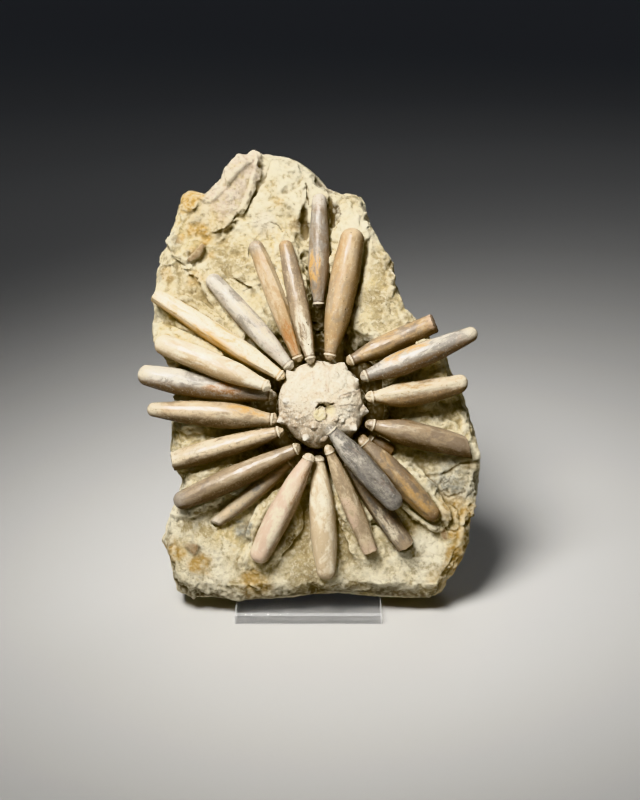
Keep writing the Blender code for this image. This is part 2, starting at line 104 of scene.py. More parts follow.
def fractal(points, size, octaves=4, layer=0.0):
    """Fractal noise of about -1 to 1 at each point, whose largest lumps are size across."""
    shift = Vector((17.3, -9.1, 5.7)) * layer
    return np.array([noise.fractal(Vector(p) / size + shift, 1.0, 2.0, octaves) for p in points])


def cells(points, size, layer=0.0):
    """Distances, in cells, from each point to its nearest and its second nearest cell middle."""
    shift = Vector((-3.1, 8.7, 12.9)) * layer
    return np.array([noise.voronoi(Vector(p) / size + shift)[0][:2] for p in points])


def scoops(points, size, layer=0.0):
    """Height of shallow scooped hollows with ridges between them, each about size across."""
    return 0.30 * size * (cells(points, size, layer)[:, 0] ** 2 - 0.2)


def wander(points, size, octaves, *layers):
    """Fractal noise in columns, one for each layer, to bend a pattern with."""
    return np.stack([fractal(points, size, octaves, layer) for layer in layers], axis=1)


def fold(x, width):
    """A soft ridge of height 1 along x = 0."""
    return np.exp(-((x / width) ** 2))


def turn_from(turn, middle):
    """Angle from each direction to the middle one, from 0 to pi."""
    return np.abs((turn - middle + math.pi) % (2 * math.pi) - math.pi)


def distance_to_spot(places, u, v):
    return np.hypot(places[:, 0] - u, places[:, 1] - v)


def distance_to_path(places, path):
    """Distance from each (u, v) to a line through the path's points."""
    nearest = np.full(len(places), np.inf)
    for start, end in zip(path, path[1:]):
        start, along = np.array(start), np.subtract(end, start)
        t = np.clip((places - start) @ along / (along @ along), 0, 1)
        nearest = np.minimum(nearest, np.linalg.norm(places - start - t[:, None] * along, axis=1))
    return nearest


# ---------------------------------------------------------------------------------------------- meshes


def get_points(mesh, kind="co"):
    """The mesh's points, or its "normal"s, as rows."""
    values = np.empty(len(mesh.vertices) * 3)
    mesh.vertices.foreach_get(kind, values)
    return values.reshape(-1, 3)


def set_points(mesh, points):
    mesh.vertices.foreach_set("co", np.ravel(points))
    mesh.update()


def set_mark(mesh, name, values):
    """A number from 0 to 1 at each vertex, for the material to read."""
    mark = mesh.attributes.new(name, "FLOAT", "POINT")
    mark.data.foreach_set("value", np.clip(values, 0, 1).astype(np.float32))


class Neighbours:
    """The edges of a mesh, to average values over each vertex's neighbours."""

    def __init__(self, mesh):
        edges = np.empty(len(mesh.edges) * 2, np.int32)
        mesh.edges.foreach_get("vertices", edges)
        self.start, self.end = edges.reshape(-1, 2).T
        self.count = len(mesh.vertices)
        self.degree = self.total(np.ones(self.count))

    def total(self, values):
        from_ends = np.bincount(self.start, values[self.end], self.count)
        return from_ends + np.bincount(self.end, values[self.start], self.count)

    def smoothed(self, values, times, keep=0.5):
        """The values, averaged with their neighbours so many times. Works on one column or several."""
        columns = np.atleast_2d(values.T)
        for _ in range(times):
            columns = np.array([keep * c + (1 - keep) * self.total(c) / self.degree for c in columns])
        return columns.T.reshape(values.shape)


def grid_mesh(name, rings, closed_ends=True):
    """A skin over rings of points, each given as an array, with the ends closed to their middles."""
    sides = len(rings[0])
    points = np.concatenate(rings)
    faces = []
    for i in range(len(rings) - 1):
        here, there = i * sides, (i + 1) * sides
        for k in range(sides):
            after = (k + 1) % sides
            faces.append((here + k, here + after, there + after, there + k))
    if closed_ends:
        first, last = len(points), len(points) + 1
        points = np.vstack([points, rings[0].mean(0), rings[-1].mean(0)])
        base = (len(rings) - 1) * sides
        for k in range(sides):
            after = (k + 1) % sides
            faces.append((first, after, k))
            faces.append((last, base + k, base + after))
    mesh = bpy.data.meshes.new(name)
    mesh.from_pydata(points.tolist(), [], faces)
    mesh.validate()
    mesh.shade_smooth()
    return mesh


def evaluated_mesh(piece):
    """The piece's mesh with its modifiers applied, as new data."""
    graph = bpy.context.evaluated_depsgraph_get()
    return bpy.data.meshes.new_from_object(piece.evaluated_get(graph))


def new_object(name, data):
    """An object with that data, in the scene."""
    made = bpy.data.objects.new(name, data)
    bpy.context.scene.collection.objects.link(made)
    return made


def dress(mesh, material):
    """Gives the whole mesh that one material."""
    mesh.materials.clear()
    mesh.materials.append(material)


def new_piece(name, mesh, nodes, place=FACE):
    """An object of the model, in its place and standing for those solids of the frame."""
    piece = new_object(name, mesh)
    piece.matrix_world = place
    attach(piece, "root")
    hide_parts(*nodes)
    return piece


# ------------------------------------------------------------------------------------------- materials


class Wire:
    """A socket of a node tree. Arithmetic on it adds the Math nodes."""

    def __init__(self, tree, socket):
        self.tree = tree
        self.socket = socket

    def maths(self, operation, first, second=0.0, clamp=False):
        node = self.tree.nodes.new("ShaderNodeMath")
        node.operation = operation
        node.use_clamp = clamp
        plug(self.tree, node.inputs[0], first)
        plug(self.tree, node.inputs[1], second)
        return Wire(self.tree, node.outputs[0])

    def __add__(self, other):
        return self.maths("ADD", self, other)

    __radd__ = __add__

    def __mul__(self, other):
        return self.maths("MULTIPLY", self, other)

    __rmul__ = __mul__

    def __sub__(self, other):
        return self.maths("SUBTRACT", self, other)

    def __rsub__(self, other):
        return self.maths("SUBTRACT", other, self)

    def __abs__(self):
        return self.maths("ABSOLUTE", self)

    def clamped(self):
        return self.maths("ADD", self, 0.0, clamp=True)


def plug(tree, socket, value):
    """Links a wire to the socket, or sets its value."""
    if isinstance(value, Wire):
        tree.links.new(value.socket, socket)
    elif socket.type == "RGBA":
        socket.default_value = (*value[:3], 1.0)
    else:
        socket.default_value = value


class Finish:
    """A material with one Principled shader, its colour so far, and the ways to build what feeds it."""

    def __init__(self, name, colour=None, **constants):
        self.colour = colour
        self.material = bpy.data.materials.new(name)
        self.material.use_nodes = True
        self.tree = self.material.node_tree
        self.surface = self.tree.nodes["Principled BSDF"]
        for socket, value in constants.items():
            plug(self.tree, self.surface.inputs[socket.replace("_", " ")], value)

    def add(self, kind, settings, values, output=0):
        """A node of that kind. Its settings come first, then the values or links of its sockets."""
        node = self.tree.nodes.new("ShaderNode" + kind)
        for name, value in settings.items():
            setattr(node, name, value)
        for socket, value in values.items():
            plug(self.tree, node.inputs[socket], value)
        return Wire(self.tree, node.outputs[output])

    def place(self):
        """Where the surface is, in the piece's own frame, in metres."""
        return self.add("TexCoord", {}, {}, "Object")

    def vectors(self, operation, first, second, output="Vector"):
        return self.add("VectorMath", {"operation": operation}, {0: first, 1: second}, output)

    def part(self, place, axis):
        return self.add("SeparateXYZ", {}, {0: place}, axis)

    def squeezed(self, place, share):
        """The place with its Z shortened to that share, which draws patterns out along Z."""
        return self.vectors("MULTIPLY", place, (1.0, 1.0, share))

    def noise(self, place, size, detail=4.0, roughness=0.55, distortion=0.0, shift=0.0):
        """Soft noise from 0 to 1 with lumps about size across, in metres."""
        moved = self.vectors("ADD", place, (shift, -shift, shift * 0.7))
        values = {"Vector": moved, "Scale": 1 / size, "Detail": detail, "Roughness": roughness}
        return self.add("TexNoise", {}, {**values, "Distortion": distortion}, "Fac")

    def cells(self, place, size, shift):
        """Distance to the nearest of scattered points about size apart, as a share of size."""
        moved = self.vectors("ADD", place, (shift, shift, -shift))
        return self.add("TexVoronoi", {}, {"Vector": moved, "Scale": 1 / size}, "Distance")

    def mask(self, value, low, high):
        """0 below low, 1 above high and smooth between; it falls instead where low is above high."""
        values = {"Value": value, "From Min": low, "From Max": high}
        return self.add("MapRange", {"interpolation_type": "SMOOTHSTEP"}, values, "Result")

    def near(self, place, spot, reach, wobble):
        """1 at the spot and 0 beyond about its reach, with an edge that the wobble noise makes uneven."""
        away = self.vectors("DISTANCE", place, spot, "Value")
        return self.mask(away + (wobble - 0.5) * (2.2 * reach), reach, 0.45 * reach)

    def mark(self, name):
        return self.add("Attribute", {"attribute_type": "GEOMETRY", "attribute_name": name}, {}, "Fac")

    def tint(self, colour, share):
        """Turns the colour so far into the other by share, which the node keeps between 0 and 1."""
        self.colour = self.add("Mix", {"data_type": "RGBA"}, {0: share, 6: self.colour, 7: colour}, 2)

    def feed(self, socket, value):
        plug(self.tree, self.surface.inputs[socket], value)

    def emboss(self, height, depth, strength=1.0):
        """Raises the surface by height, from 0 to 1, times depth in metres."""
        normal = self.add("Bump", {}, {"Height": height, "Distance": depth, "Strength": strength})
        self.feed("Normal", normal)


# ---------------------------------------------------------------------------------------------- slab

# Sculpted marks on the rock's face: the line they follow in (u, v), half width, height or depth, and softness
Mark = namedtuple("Mark", "path width rise soft")

ROCK_MARKS = [
    Mark([(-17.0, 84.0), (-19.5, 78.0), (-26.0, 66.5)], 0.25, -0.45, 0.5),  # right of the pinkish ridge
    Mark([(-5.3, 76.5), (-4.4, 69.5)], 0.2, -0.6, 0.25),  # thin crack over the loose spine
    Mark([(-17.3, 62.8), (-14.6, 61.4), (-13.0, 59.2)], 0.2, -0.7, 0.25),
    Mark([(-26.5, 39.5), (-24.0, 40.5), (-20.0, 41.5)], 0.15, -0.4, 0.3),
    Mark([(-51.5, 51.0), (-48.5, 50.2)], 0.25, -0.7, 0.3),
    Mark([(34.0, -25.0), (41.5, -24.0), (45.0, -22.5), (48.0, -20.0), (55.0, -19.6)], 0.3, -0.7, 0.5),
    Mark([(41.0, -39.5), (43.0, -43.0), (46.0, -43.5), (52.0, -40.0)], 0.25, -0.6, 0.35),
    Mark([(39.0, -28.0), (44.0, -31.5), (50.0, -30.0)], 0.2, -0.5, 0.3),
    Mark([(42.0, -33.0), (47.0, -36.0), (48.0, -42.0)], 0.2, -0.5, 0.3),
    Mark([(8.2, 24.0), (10.6, 36.0), (13.6, 42.5), (16.0, 56.5)], 0.8, -1.6, 0.6),  # by the stout spine
    Mark([(-43.5, 48.2), (-41.0, 50.0), (-39.8, 52.6)], 0.6, -0.8, 0.8),  # hollow under the brown shard
    Mark([(-45.2, 49.8), (-40.8, 54.6), (-41.6, 51.6), (-45.2, 49.8)], 0.7, 1.2, 0.2),  # brown shard
    Mark([(-46.0, -48.6), (-43.2, -49.0), (-43.8, -51.0), (-46.0, -48.6)], 0.8, 0.7, 0.25),  # scrap of shell
    Mark([(42.2, -43.6), (42.8, -45.6)], 0.9, 0.7, 0.25),  # small oval fossil
    Mark([(3.2, 71.0), (3.9, 62.0)], 0.7, -1.5, 0.5),  # hollows beside the loose spine
    Mark([(-6.0, 67.0), (-5.4, 58.0)], 0.9, -1.2, 0.9),
    Mark([(-12.6, 70.6), (-9.8, 71.4)], 1.2, 0.9, 1.3),  # lump over the left hollow
    Mark([(9.5, 18.0), (11.5, 20.5)], 2.2, 2.2, 1.5),  # rock left on the stout spine's foot
]

# Stains, painted shade and painted light: place on the face, radius, and strength, for each of the rock's
# colours.
# The near-black blots are painted shade in hollows and in the low ground round the shell, and the bright
# blots along the foot are painted light on the rim that faces down.
STAINS = {
    "rust": [
        (44.0, -35.0, 6.5, 1.1), (50.0, -38.0, 4.0, 1.1), (48.0, -51.0, 5.0, 1.3),
        (-40.0, 62.0, 9.0, 0.35), (-46.8, 69.5, 4.6, 1.6), (-44.5, 72.5, 3.6, 1.5),
        (-48.2, 57.8, 2.2, 1.4), (-44.8, 60.0, 2.6, 1.5), (-41.0, 60.4, 2.6, 1.5),
        (-39.0, 57.0, 2.6, 1.3), (-38.0, 51.0, 2.6, 0.8), (-50.0, -50.5, 4.5, 1.2),
        (-42.5, -55.5, 4.2, 1.3), (-22.0, -62.0, 6.0, 0.9), (-44.0, 52.5, 2.6, 0.9),
        (-8.0, 62.0, 3.0, 0.6), (-43.5, 43.8, 4.0, 0.6), (5.0, 51.0, 2.5, 0.7), (47.0, -45.0, 4.0, 1.1),
        (46.5, -56.0, 4.5, 1.1), (42.0, -63.0, 4.0, 0.6), (16.0, -45.0, 3.0, 0.5),
        (30.0, -44.0, 3.0, 0.5), (50.0, -20.0, 3.0, 0.5), (-55.0, 20.0, 4.0, 0.5),
        (-54.0, 45.0, 3.0, 0.5), (40.0, -60.0, 3.5, 0.4), (-14.0, 70.0, 2.6, 0.4),
    ],
    # Painted shade, near black: the hollows and the low ground round the shell.
    "painted_shade": [
        (0.0, -1.0, 23.0, 1.3), (-44.3, 51.5, 2.6, 0.9), (13.0, 23.5, 3.5, 0.8), (24.0, -48.0, 3.0, 0.6),
        (-7.0, 62.0, 2.2, 0.7), (3.8, 67.0, 3.0, 1.4), (-5.4, 62.0, 3.2, 1.3), (-10.5, 68.2, 2.0, 0.5),
        (-44.0, -50.0, 2.2, 0.7), (42.0, -39.5, 2.0, 0.6), (52.0, -50.0, 4.0, 0.6),
        (-1.0, -61.0, 4.5, 0.5), (34.0, -20.0, 5.0, 0.4), (-13.0, -44.0, 4.0, 0.6),
        (-18.0, 75.0, 2.0, 0.4),
    ],
    "slate": [
        (44.5, -26.5, 8.0, 0.8), (-26.0, -42.5, 3.5, 0.9), (-26.0, -46.5, 2.8, 0.6),
        (-51.0, 57.0, 3.0, 0.5), (-9.0, 60.0, 3.5, 0.2), (52.0, -28.0, 5.0, 0.5),
    ],
    "pink": [
        (-25.0, 82.0, 7.0, 1.0), (-29.5, 75.0, 7.0, 1.0), (-33.0, 68.5, 6.0, 0.9),
        (-19.0, 62.0, 5.0, 0.3), (-31.0, 81.0, 6.0, 0.9), (-36.5, 73.5, 6.0, 0.9),
        (-22.0, 87.0, 4.0, 0.9),
    ],
    "sand": [
        (0.0, -42.0, 15.0, 1.0), (-14.0, -36.0, 9.0, 0.9), (12.0, -50.0, 7.0, 0.6),
        (26.0, -38.0, 7.0, 0.7), (-24.0, -56.0, 6.0, 0.5), (25.0, 47.0, 10.0, 1.0),
        (20.0, 36.0, 6.0, 0.9), (-6.0, -58.0, 9.0, 0.9), (30.0, 28.0, 5.0, 0.7), (-33.0, 50.0, 9.0, 0.9),
        (36.0, -14.0, 8.0, 0.6), (-44.0, 36.0, 9.0, 0.9), (44.0, -33.0, 6.0, 0.4), (0.0, 0.0, 26.0, 0.6),
        (-38.0, -20.0, 7.0, 0.5),
    ],
    # Lighter stone; the row along the foot is painted light on the rim that faces down.
    "bright": [
        (-42.0, 64.0, 7.0, 0.5), (-20.0, 63.0, 4.5, 1.0), (-33.5, 47.0, 4.0, 0.5),
        (-48.0, -36.0, 13.0, 1.0), (-41.0, -48.0, 6.0, 0.5), (-45.0, -60.0, 5.0, 0.8),
        (-27.5, -53.0, 3.5, 0.7), (34.0, -52.0, 12.0, 1.0), (-39.0, -58.0, 12.0, 1.0),
        (14.0, 62.0, 9.0, 0.9), (21.0, 48.0, 4.0, 0.4), (44.0, -36.0, 5.0, 0.6), (-8.0, 78.0, 16.0, 0.9),
        (-20.0, 70.0, 9.0, 0.8), (-34.0, -58.0, 8.0, 0.6), (-12.0, -65.0, 8.0, 0.8),
        (8.0, -65.0, 8.0, 0.9), (24.0, -64.0, 9.0, 1.0), (-30.0, -65.0, 8.0, 0.8),
        (15.0, -58.0, 8.0, 0.7), (-46.0, 0.0, 6.0, 0.6), (-30.0, 36.0, 5.0, 0.6), (26.0, 60.0, 6.0, 0.6),
    ],
}  # fmt: skip


PINK_RIDGE = [(-23.0, 84.0), (-33.0, 68.0)]
LOW_TIP = [(16.5, -51.0), (17.6, -53.6)]  # where the rock is smoothest, round the tip of a low spine
# Where the rock is crumbled: place on the face and reach
CRUMBLED = [(46.0, -30.0, 9.0), (45.0, -38.0, 8.0), (-46.0, 44.0, 8.0), (24.0, 34.0, 7.0)]
TALLEST_RISE = 0.8  # how far the broken surface stands out at most, in millimetres
INNER_CALM = 0.35  # share of the scoops that is left where the face is calm

# How far a place lies below or over the rock around it where its mark is full
HOLLOW_DEPTH = 0.55 * MM
CREASE_DEPTH = 0.25 * MM
HIGHLIGHT_HEIGHT = 0.10 * MM
WIDE, NEAR = 30, 4  # passes of averaging that give the rock around a place


def slab_grain(places, front, rim):
    """Height of the broken surface over the smooth rock, in millimetres."""
    calm = smoothstep(places[:, 1], -20.0, -36.0)
    calm = np.maximum(calm, smoothstep(distance_to_path(places[:, :2], PINK_RIDGE), 9.0, 5.0))
    calm *= front * (1 - rim)
    warp = wander(places, 8.0, 4, 21, 22, 23)
    bent = places + 3.5 * warp
    broad = 0.60 * scoops(bent, 17.0, 1.0)
    small = 0.90 * scoops(bent, 6.5, 2.0) * smoothstep(warp[:, 1], -0.35, 0.25)
    soft = 0.55 * fractal(bent * (1.0, 1.3, 1.0), 6.0, 5, 3.0)
    grit = 0.16 * fractal(places, 1.4, 4, 4.0)
    grit += rim * (0.55 * scoops(bent, 8.0, 5.0) + 0.40 * scoops(bent, 3.2, 6.0))
    rise = (broad + small) * mix(1.0, INNER_CALM, calm) + soft * mix(1.0, 0.6, calm)
    crumbled = np.zeros(len(places))
    for u, v, reach in CRUMBLED:
        away = distance_to_spot(places, u, v) + 3 * warp[:, 2]
        crumbled = np.maximum(crumbled, front * smoothstep(away, reach, 0.6 * reach))
    cracks = smoothstep(np.abs(fractal(bent, 9.0, 2, 8.0)), 0.04, 0.01)
    grit += crumbled * (0.75 * scoops(bent, 4.2, 4.0) - 0.35 * cracks)
    return np.where(rise > 0, TALLEST_RISE * np.tanh(rise / TALLEST_RISE), rise) + grit


def carved(places, front):
    """Height of the sculpted marks, in millimetres, and how far each place is on a scrap of old shell."""
    ragged = wander(places, 3.0, 3, 6.0, 7.0)
    height = np.zeros(len(places))
    scrap = np.zeros(len(places))
    for mark in ROCK_MARKS:
        crisp = mark.rise > 0 and mark.soft < 0.3
        away = distance_to_path(places[:, :2] + (0.15 if crisp else 0.6) * ragged, mark.path)
        share = smoothstep(away, mark.width + mark.soft, mark.width * (0.9 if crisp else 0.4))
        height += mark.rise * share
        scrap = np.maximum(scrap, share * crisp)
    return height * front, scrap * front


def stain_marks(places, front):
    """How strong each of the rock's colours is at each place."""
    ragged = 2.6 * fractal(places, 5.0, 5, 9.0)
    marks = {}
    for name, blots in STAINS.items():
        marks[name] = np.zeros(len(places))
        for u, v, radius, strength in blots:
            away = distance_to_spot(places, u, v) + ragged
            blot = strength * smoothstep(away, radius * 1.2, radius * 0.4)
            marks[name] = np.maximum(marks[name], blot * front)
    return marks


def to_face(points):
    """(u, v, w) in millimetres of points in the face's own frame."""
    return np.stack([points[:, 0], points[:, 2], -points[:, 1]], axis=1) / MM


def fine_slab(rock):
    """The slab's solid as a fine, even skin without its flat facets, its face softer than its edges."""
    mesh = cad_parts["slab"].data.copy()
    mesh.transform(FACE.inverted())
    draft = new_object("draft", mesh)
    remesh = draft.modifiers.new("even skin", "REMESH")
    remesh.mode = "VOXEL"
    remesh.voxel_size = rock.grid * 1
    fine = evaluated_mesh(draft)
    bpy.data.objects.remove(draft)
    net = Neighbours(fine)
    points = get_points(fine)
    for _ in range(rock.smoothing):
        points = net.smoothed(points, 1, 0.45)
        points = net.smoothed(points, 1, 1.5)
    set_points(fine, points)
    inner = net.smoothed(smoothstep(-get_points(fine, "normal")[:, 1], 0.2, 0.6), 60)
    inner = smoothstep(inner, 0.65, 0.90)[:, None]
    points = mix(points, net.smoothed(points, rock.softening), inner)
    tip = smoothstep(distance_to_path(to_face(points)[:, :2], LOW_TIP), 7.0, 4.0)[:, None]
    set_points(fine, mix(points, net.smoothed(points, 8 * rock.softening), tip))
    return fine, net


def thinned(slab, rock):
    """The slab's mesh with fewer points, mostly on its back and sides."""
    mesh = slab.data
    front = np.empty(len(mesh.vertices), np.float32)
    mesh.attributes["front"].data.foreach_get("value", front)
    plain = slab.vertex_groups.new(name="plain")
    plain.add(np.flatnonzero(front < 0.1).tolist(), 1.0, "REPLACE")
    triangles = 2 * len(mesh.polygons)
    share = (front < 0.1).mean()
    kept = 1 - share * (1 - rock.plain_detail)
    thin = slab.modifiers.new("plainer sides", "DECIMATE")
    thin.vertex_group = plain.name
    thin.ratio = kept
    thin = slab.modifiers.new("within budget", "DECIMATE")
    thin.ratio = min(1.0, rock.triangles / (triangles * kept))
    fewer = evaluated_mesh(slab)
    slab.modifiers.clear()
    slab.vertex_groups.clear()
    return fewer


def rock_rim(places, normals, front):
    """How far each place is on the rounded rim of the face, which is cleaner along its foot."""
    rim = front * smoothstep(-normals[:, 1], 0.985, 0.90)
    clean_foot = smoothstep(places[:, 1], -52.0, -58.0) * smoothstep(places[:, 0], -28.0, -16.0)
    return rim * (1 - 0.6 * clean_foot * smoothstep(places[:, 0], 42.0, 34.0))


def make_slab(rock):
    fine, net = fine_slab(rock)
    points, normals = get_points(fine), get_points(fine, "normal")
    places = to_face(points)
    front = smoothstep(-normals[:, 1], 0.15, 0.5)
    rim = rock_rim(places, normals, front)
    turn = np.array(FACE.to_3x3())
    foot = (points @ turn.T)[:, 2]
    facing_down = smoothstep((normals @ turn.T)[:, 2], -0.8, -0.95)
    resting = np.maximum(facing_down, smoothstep(normals[:, 1], 0.85, 0.97))
    rise = slab_grain(places, front, rim) * (1 + 0.8 * rim)
    cut, scrap = carved(places, front)
    rise += cut - rise.mean()
    rise = mix(rise, np.minimum(rise, 0) * 0.5, resting)
    lift = normals + np.outer(front * (1 - rim), (0, -1.5, 0))
    lift /= np.linalg.norm(lift, axis=1)[:, None]
    broken = points + lift * (rise * MM * rock.roughness)[:, None]
    broken[:, 1] = np.minimum(broken[:, 1], points[:, 1].max())
    sunk = np.maximum(foot.min() - (broken @ turn.T)[:, 2], 0)
    broken += sunk[:, None] * turn[2]
    set_points(fine, broken)

    normals = get_points(fine, "normal")
    below_wide = np.sum((net.smoothed(broken, WIDE) - broken) * normals, axis=1)
    below_near = np.sum((net.smoothed(broken, NEAR) - broken) * normals, axis=1)
    # The hollow, crease and depth marks carry painted shade, and the raised places a painted highlight.
    marks = {
        "hollow": below_wide / HOLLOW_DEPTH * (1 - 0.9 * rim),
        "crease": np.maximum(below_near / CREASE_DEPTH, -cut - 0.1),
        "worn_and_highlit": -below_near / HIGHLIGHT_HEIGHT,
        "scrap": scrap,
        "front": front,
        "depth": smoothstep(places[:, 2], 1.0, -5.5) * front,
        **stain_marks(places, smoothstep(-normals[:, 1], -0.3, 0.2)),
    }
    for name, values in marks.items():
        set_mark(fine, name, values)
    fine.transform(FACE)
    slab = new_piece("rock_slab", fine, ["slab"], Matrix.Identity(4))
    slab.data = thinned(slab, rock)
    slab.data.shade_smooth()
    dress(slab.data, rock_finish(rock))


def rock_finish(rock):
    """Pale limestone with rusty and slaty stains, flecks and specks, painted shade in its hollows, creases
    and low ground, painted highlights on its raised places and painted light along the foot of its rim.
    """
    stone = Finish("broken limestone", rock.sunny, Specular_IOR_Level=0.25)
    place = stone.place()
    broad = stone.noise(place, 0.020, 8, 0.62, 0.4)
    patch = stone.noise(place, 0.0070, 9, 0.66, 0.4, 1.3)
    mottle = stone.noise(place, 0.0026, 8, 0.72, 0.2, 2.1)
    grit = stone.noise(place, 0.0010, 6, 0.80, 0.0, 0.3)
    stone.tint(rock.yellow, stone.mask(broad, 0.46, 0.58) * 0.8)
    stone.tint(rock.bleached_and_highlight, stone.mask(patch, 0.51, 0.60) * 0.7)
    stone.tint(rock.shady, stone.mask(patch, 0.47, 0.38) * 0.8)
    # Lighter blots; those along the foot are painted light on the rim that faces down.
    stone.tint(rock.bleached_and_highlight, stone.mark("bright") * stone.mask(patch, 0.35, 0.46) * 0.95)
    blotch = stone.mask(mottle, 0.40, 0.54)
    for name, tint in (("sand", rock.shady), ("pink", rock.pink)):
        stone.tint(tint, stone.mark(name) * (0.70 + 0.4 * blotch))
    stone.tint(rock.shady, stone.mask(mottle, 0.47, 0.38) * 0.6)
    stone.tint(rock.olive_grime_and_shade, stone.mask(mottle, 0.40, 0.33) * 0.3)
    stone.tint(rock.bleached_and_highlight, stone.mask(mottle, 0.54, 0.62) * 0.6)
    stone.tint(rock.olive_grime_and_shade, stone.mask(grit, 0.45, 0.35) * 0.4)
    stone.tint(rock.bleached_and_highlight, stone.mask(grit, 0.54, 0.63) * 0.5)
    for name, tint in (("rust", rock.rust), ("slate", rock.slate), ("painted_shade", rock.painted_shade)):
        stone.tint(tint, stone.mark(name) * (0.45 + 0.5 * blotch))
    # Painted shade: olive in the hollows, near black in the low ground round the shell and in the creases.
    stone.tint(rock.olive_grime_and_shade, stone.mark("hollow") * (0.25 + 0.55 * blotch))
    stone.tint(rock.painted_shade, stone.mark("depth") * 0.85)
    stone.tint(rock.painted_shade, stone.mark("crease") * 0.45)
    # Painted highlight on the raised places.
    stone.tint(rock.bleached_and_highlight, stone.mark("worn_and_highlit") * 0.4)
    stone.tint(rock.scrap, stone.mark("scrap") * (0.65 + 0.35 * blotch))
    specks = stone.mask(grit, 0.36, 0.29) * stone.mask(broad, 0.44, 0.56)
    stone.tint(rock.speck, specks * 0.85)
    stone.feed("Base Color", stone.colour)
    stone.feed("Roughness", 0.80 + 0.18 * grit)
    stone.emboss(grit * 0.8 + mottle * 0.6, 0.0013)
    return stone.material


# ---------------------------------------------------------------------------------------------- shell

# Knobs that carried the spines: place on the face, radius and height of the boss, and radius of its ball
SHELL_KNOBS = [
    (-10.6, 10.6, 2.8, 1.6, 0.5), (-2.0, 14.4, 2.2, 0.7, 0.4), (7.5, 13.8, 2.8, 1.3, 0.6),
    (11.4, 7.9, 2.8, 1.4, 0.7), (14.9, -2.1, 2.5, 1.2, 0.95), (-13.1, -5.2, 2.7, 1.0, 1.0),
    (-11.2, 1.3, 2.6, 0.8, 1.0), (-5.0, -10.6, 3.0, 0.7, 1.0), (10.4, -7.4, 3.2, 1.1, 0.9),
    (-2.6, -7.2, 1.8, 0.4, 0.4), (-8.2, -4.2, 1.6, 0.35, 0.5), (7.3, -5.2, 1.6, 0.4, 0.55),
    (1.5, -12.5, 2.0, 0.5, 0.5), (4.8, 10.4, 1.9, 0.3, 0.3), (-6.5, 7.5, 2.4, 0.4, 0.0),
    (8.6, 3.8, 2.2, 0.35, 0.0),
]  # fmt: skip
# Creases between its plates, in (u, v)
SHELL_SEAMS = [
    [(1.6, 14.2), (1.9, 9.0), (1.9, 3.0)],
    [(2.9, 13.8), (3.0, 9.5), (2.6, 4.5)],
    [(6.0, -0.3), (9.5, -0.1), (14.0, -0.8)],
    [(6.5, 3.0), (10.0, 4.0), (13.8, 4.4)],
    [(8.6, -2.2), (11.0, -3.4), (13.4, -5.2)],
    [(-3.2, 13.0), (-2.0, 7.0), (-1.0, 3.4)],
]
# The dark gap over the filling of its opening, and the crack under it
MOUTH_ARCH = [(-1.3, -0.9), (-0.6, 0.1), (0.6, 0.2), (1.4, -0.5)]
MOUTH_CRACK = [(1.9, -3.3), (2.3, -4.6), (2.0, -5.6)]
SHELL_MIDDLE = Vector((0.0, -4.0 * MM, 0.0))  # inside the shell, in the face's frame
SHELL_RADIUS = 15.0
SHELL_UNDERSIDE = math.radians(104)  # how far down the skin goes, measured from the top
PORE_ZONES = [math.radians(a) for a in (62, 134, 206, 278, 350)]


def shell_skin(look):
    """Distance from the shell's middle to its solid, in each direction of a fine grid, without its facets."""
    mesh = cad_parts["shell"].data.copy()
    mesh.transform(FACE.inverted())
    tree = BVHTree.FromPolygons([v.co for v in mesh.vertices], [p.vertices for p in mesh.polygons])
    polar = np.linspace(0.006, SHELL_UNDERSIDE, look.rings)
    turn = np.linspace(0, 2 * math.pi, look.sides, endpoint=False)
    polar, turn = np.meshgrid(polar, turn, indexing="ij")
    rays = np.stack([np.sin(polar) * np.cos(turn), -np.cos(polar), np.sin(polar) * np.sin(turn)], axis=-1)
    reach = np.array([[tree.ray_cast(SHELL_MIDDLE, Vector(ray))[3] for ray in row] for row in rays])
    for _ in range(look.smoothing):
        padded = np.vstack([reach[:1], reach, reach[-1:]])
        across = (np.roll(reach, 1, 1) + np.roll(reach, -1, 1)) / 2
        reach = (2 * reach + padded[:-2] + padded[2:] + 2 * across) / 6
    return polar, turn, rays, reach


def zone_angle(turn):
    """Angle from each direction to the middle of the nearest pore zone."""
    return np.min([turn_from(turn, zone) for zone in PORE_ZONES], axis=0)


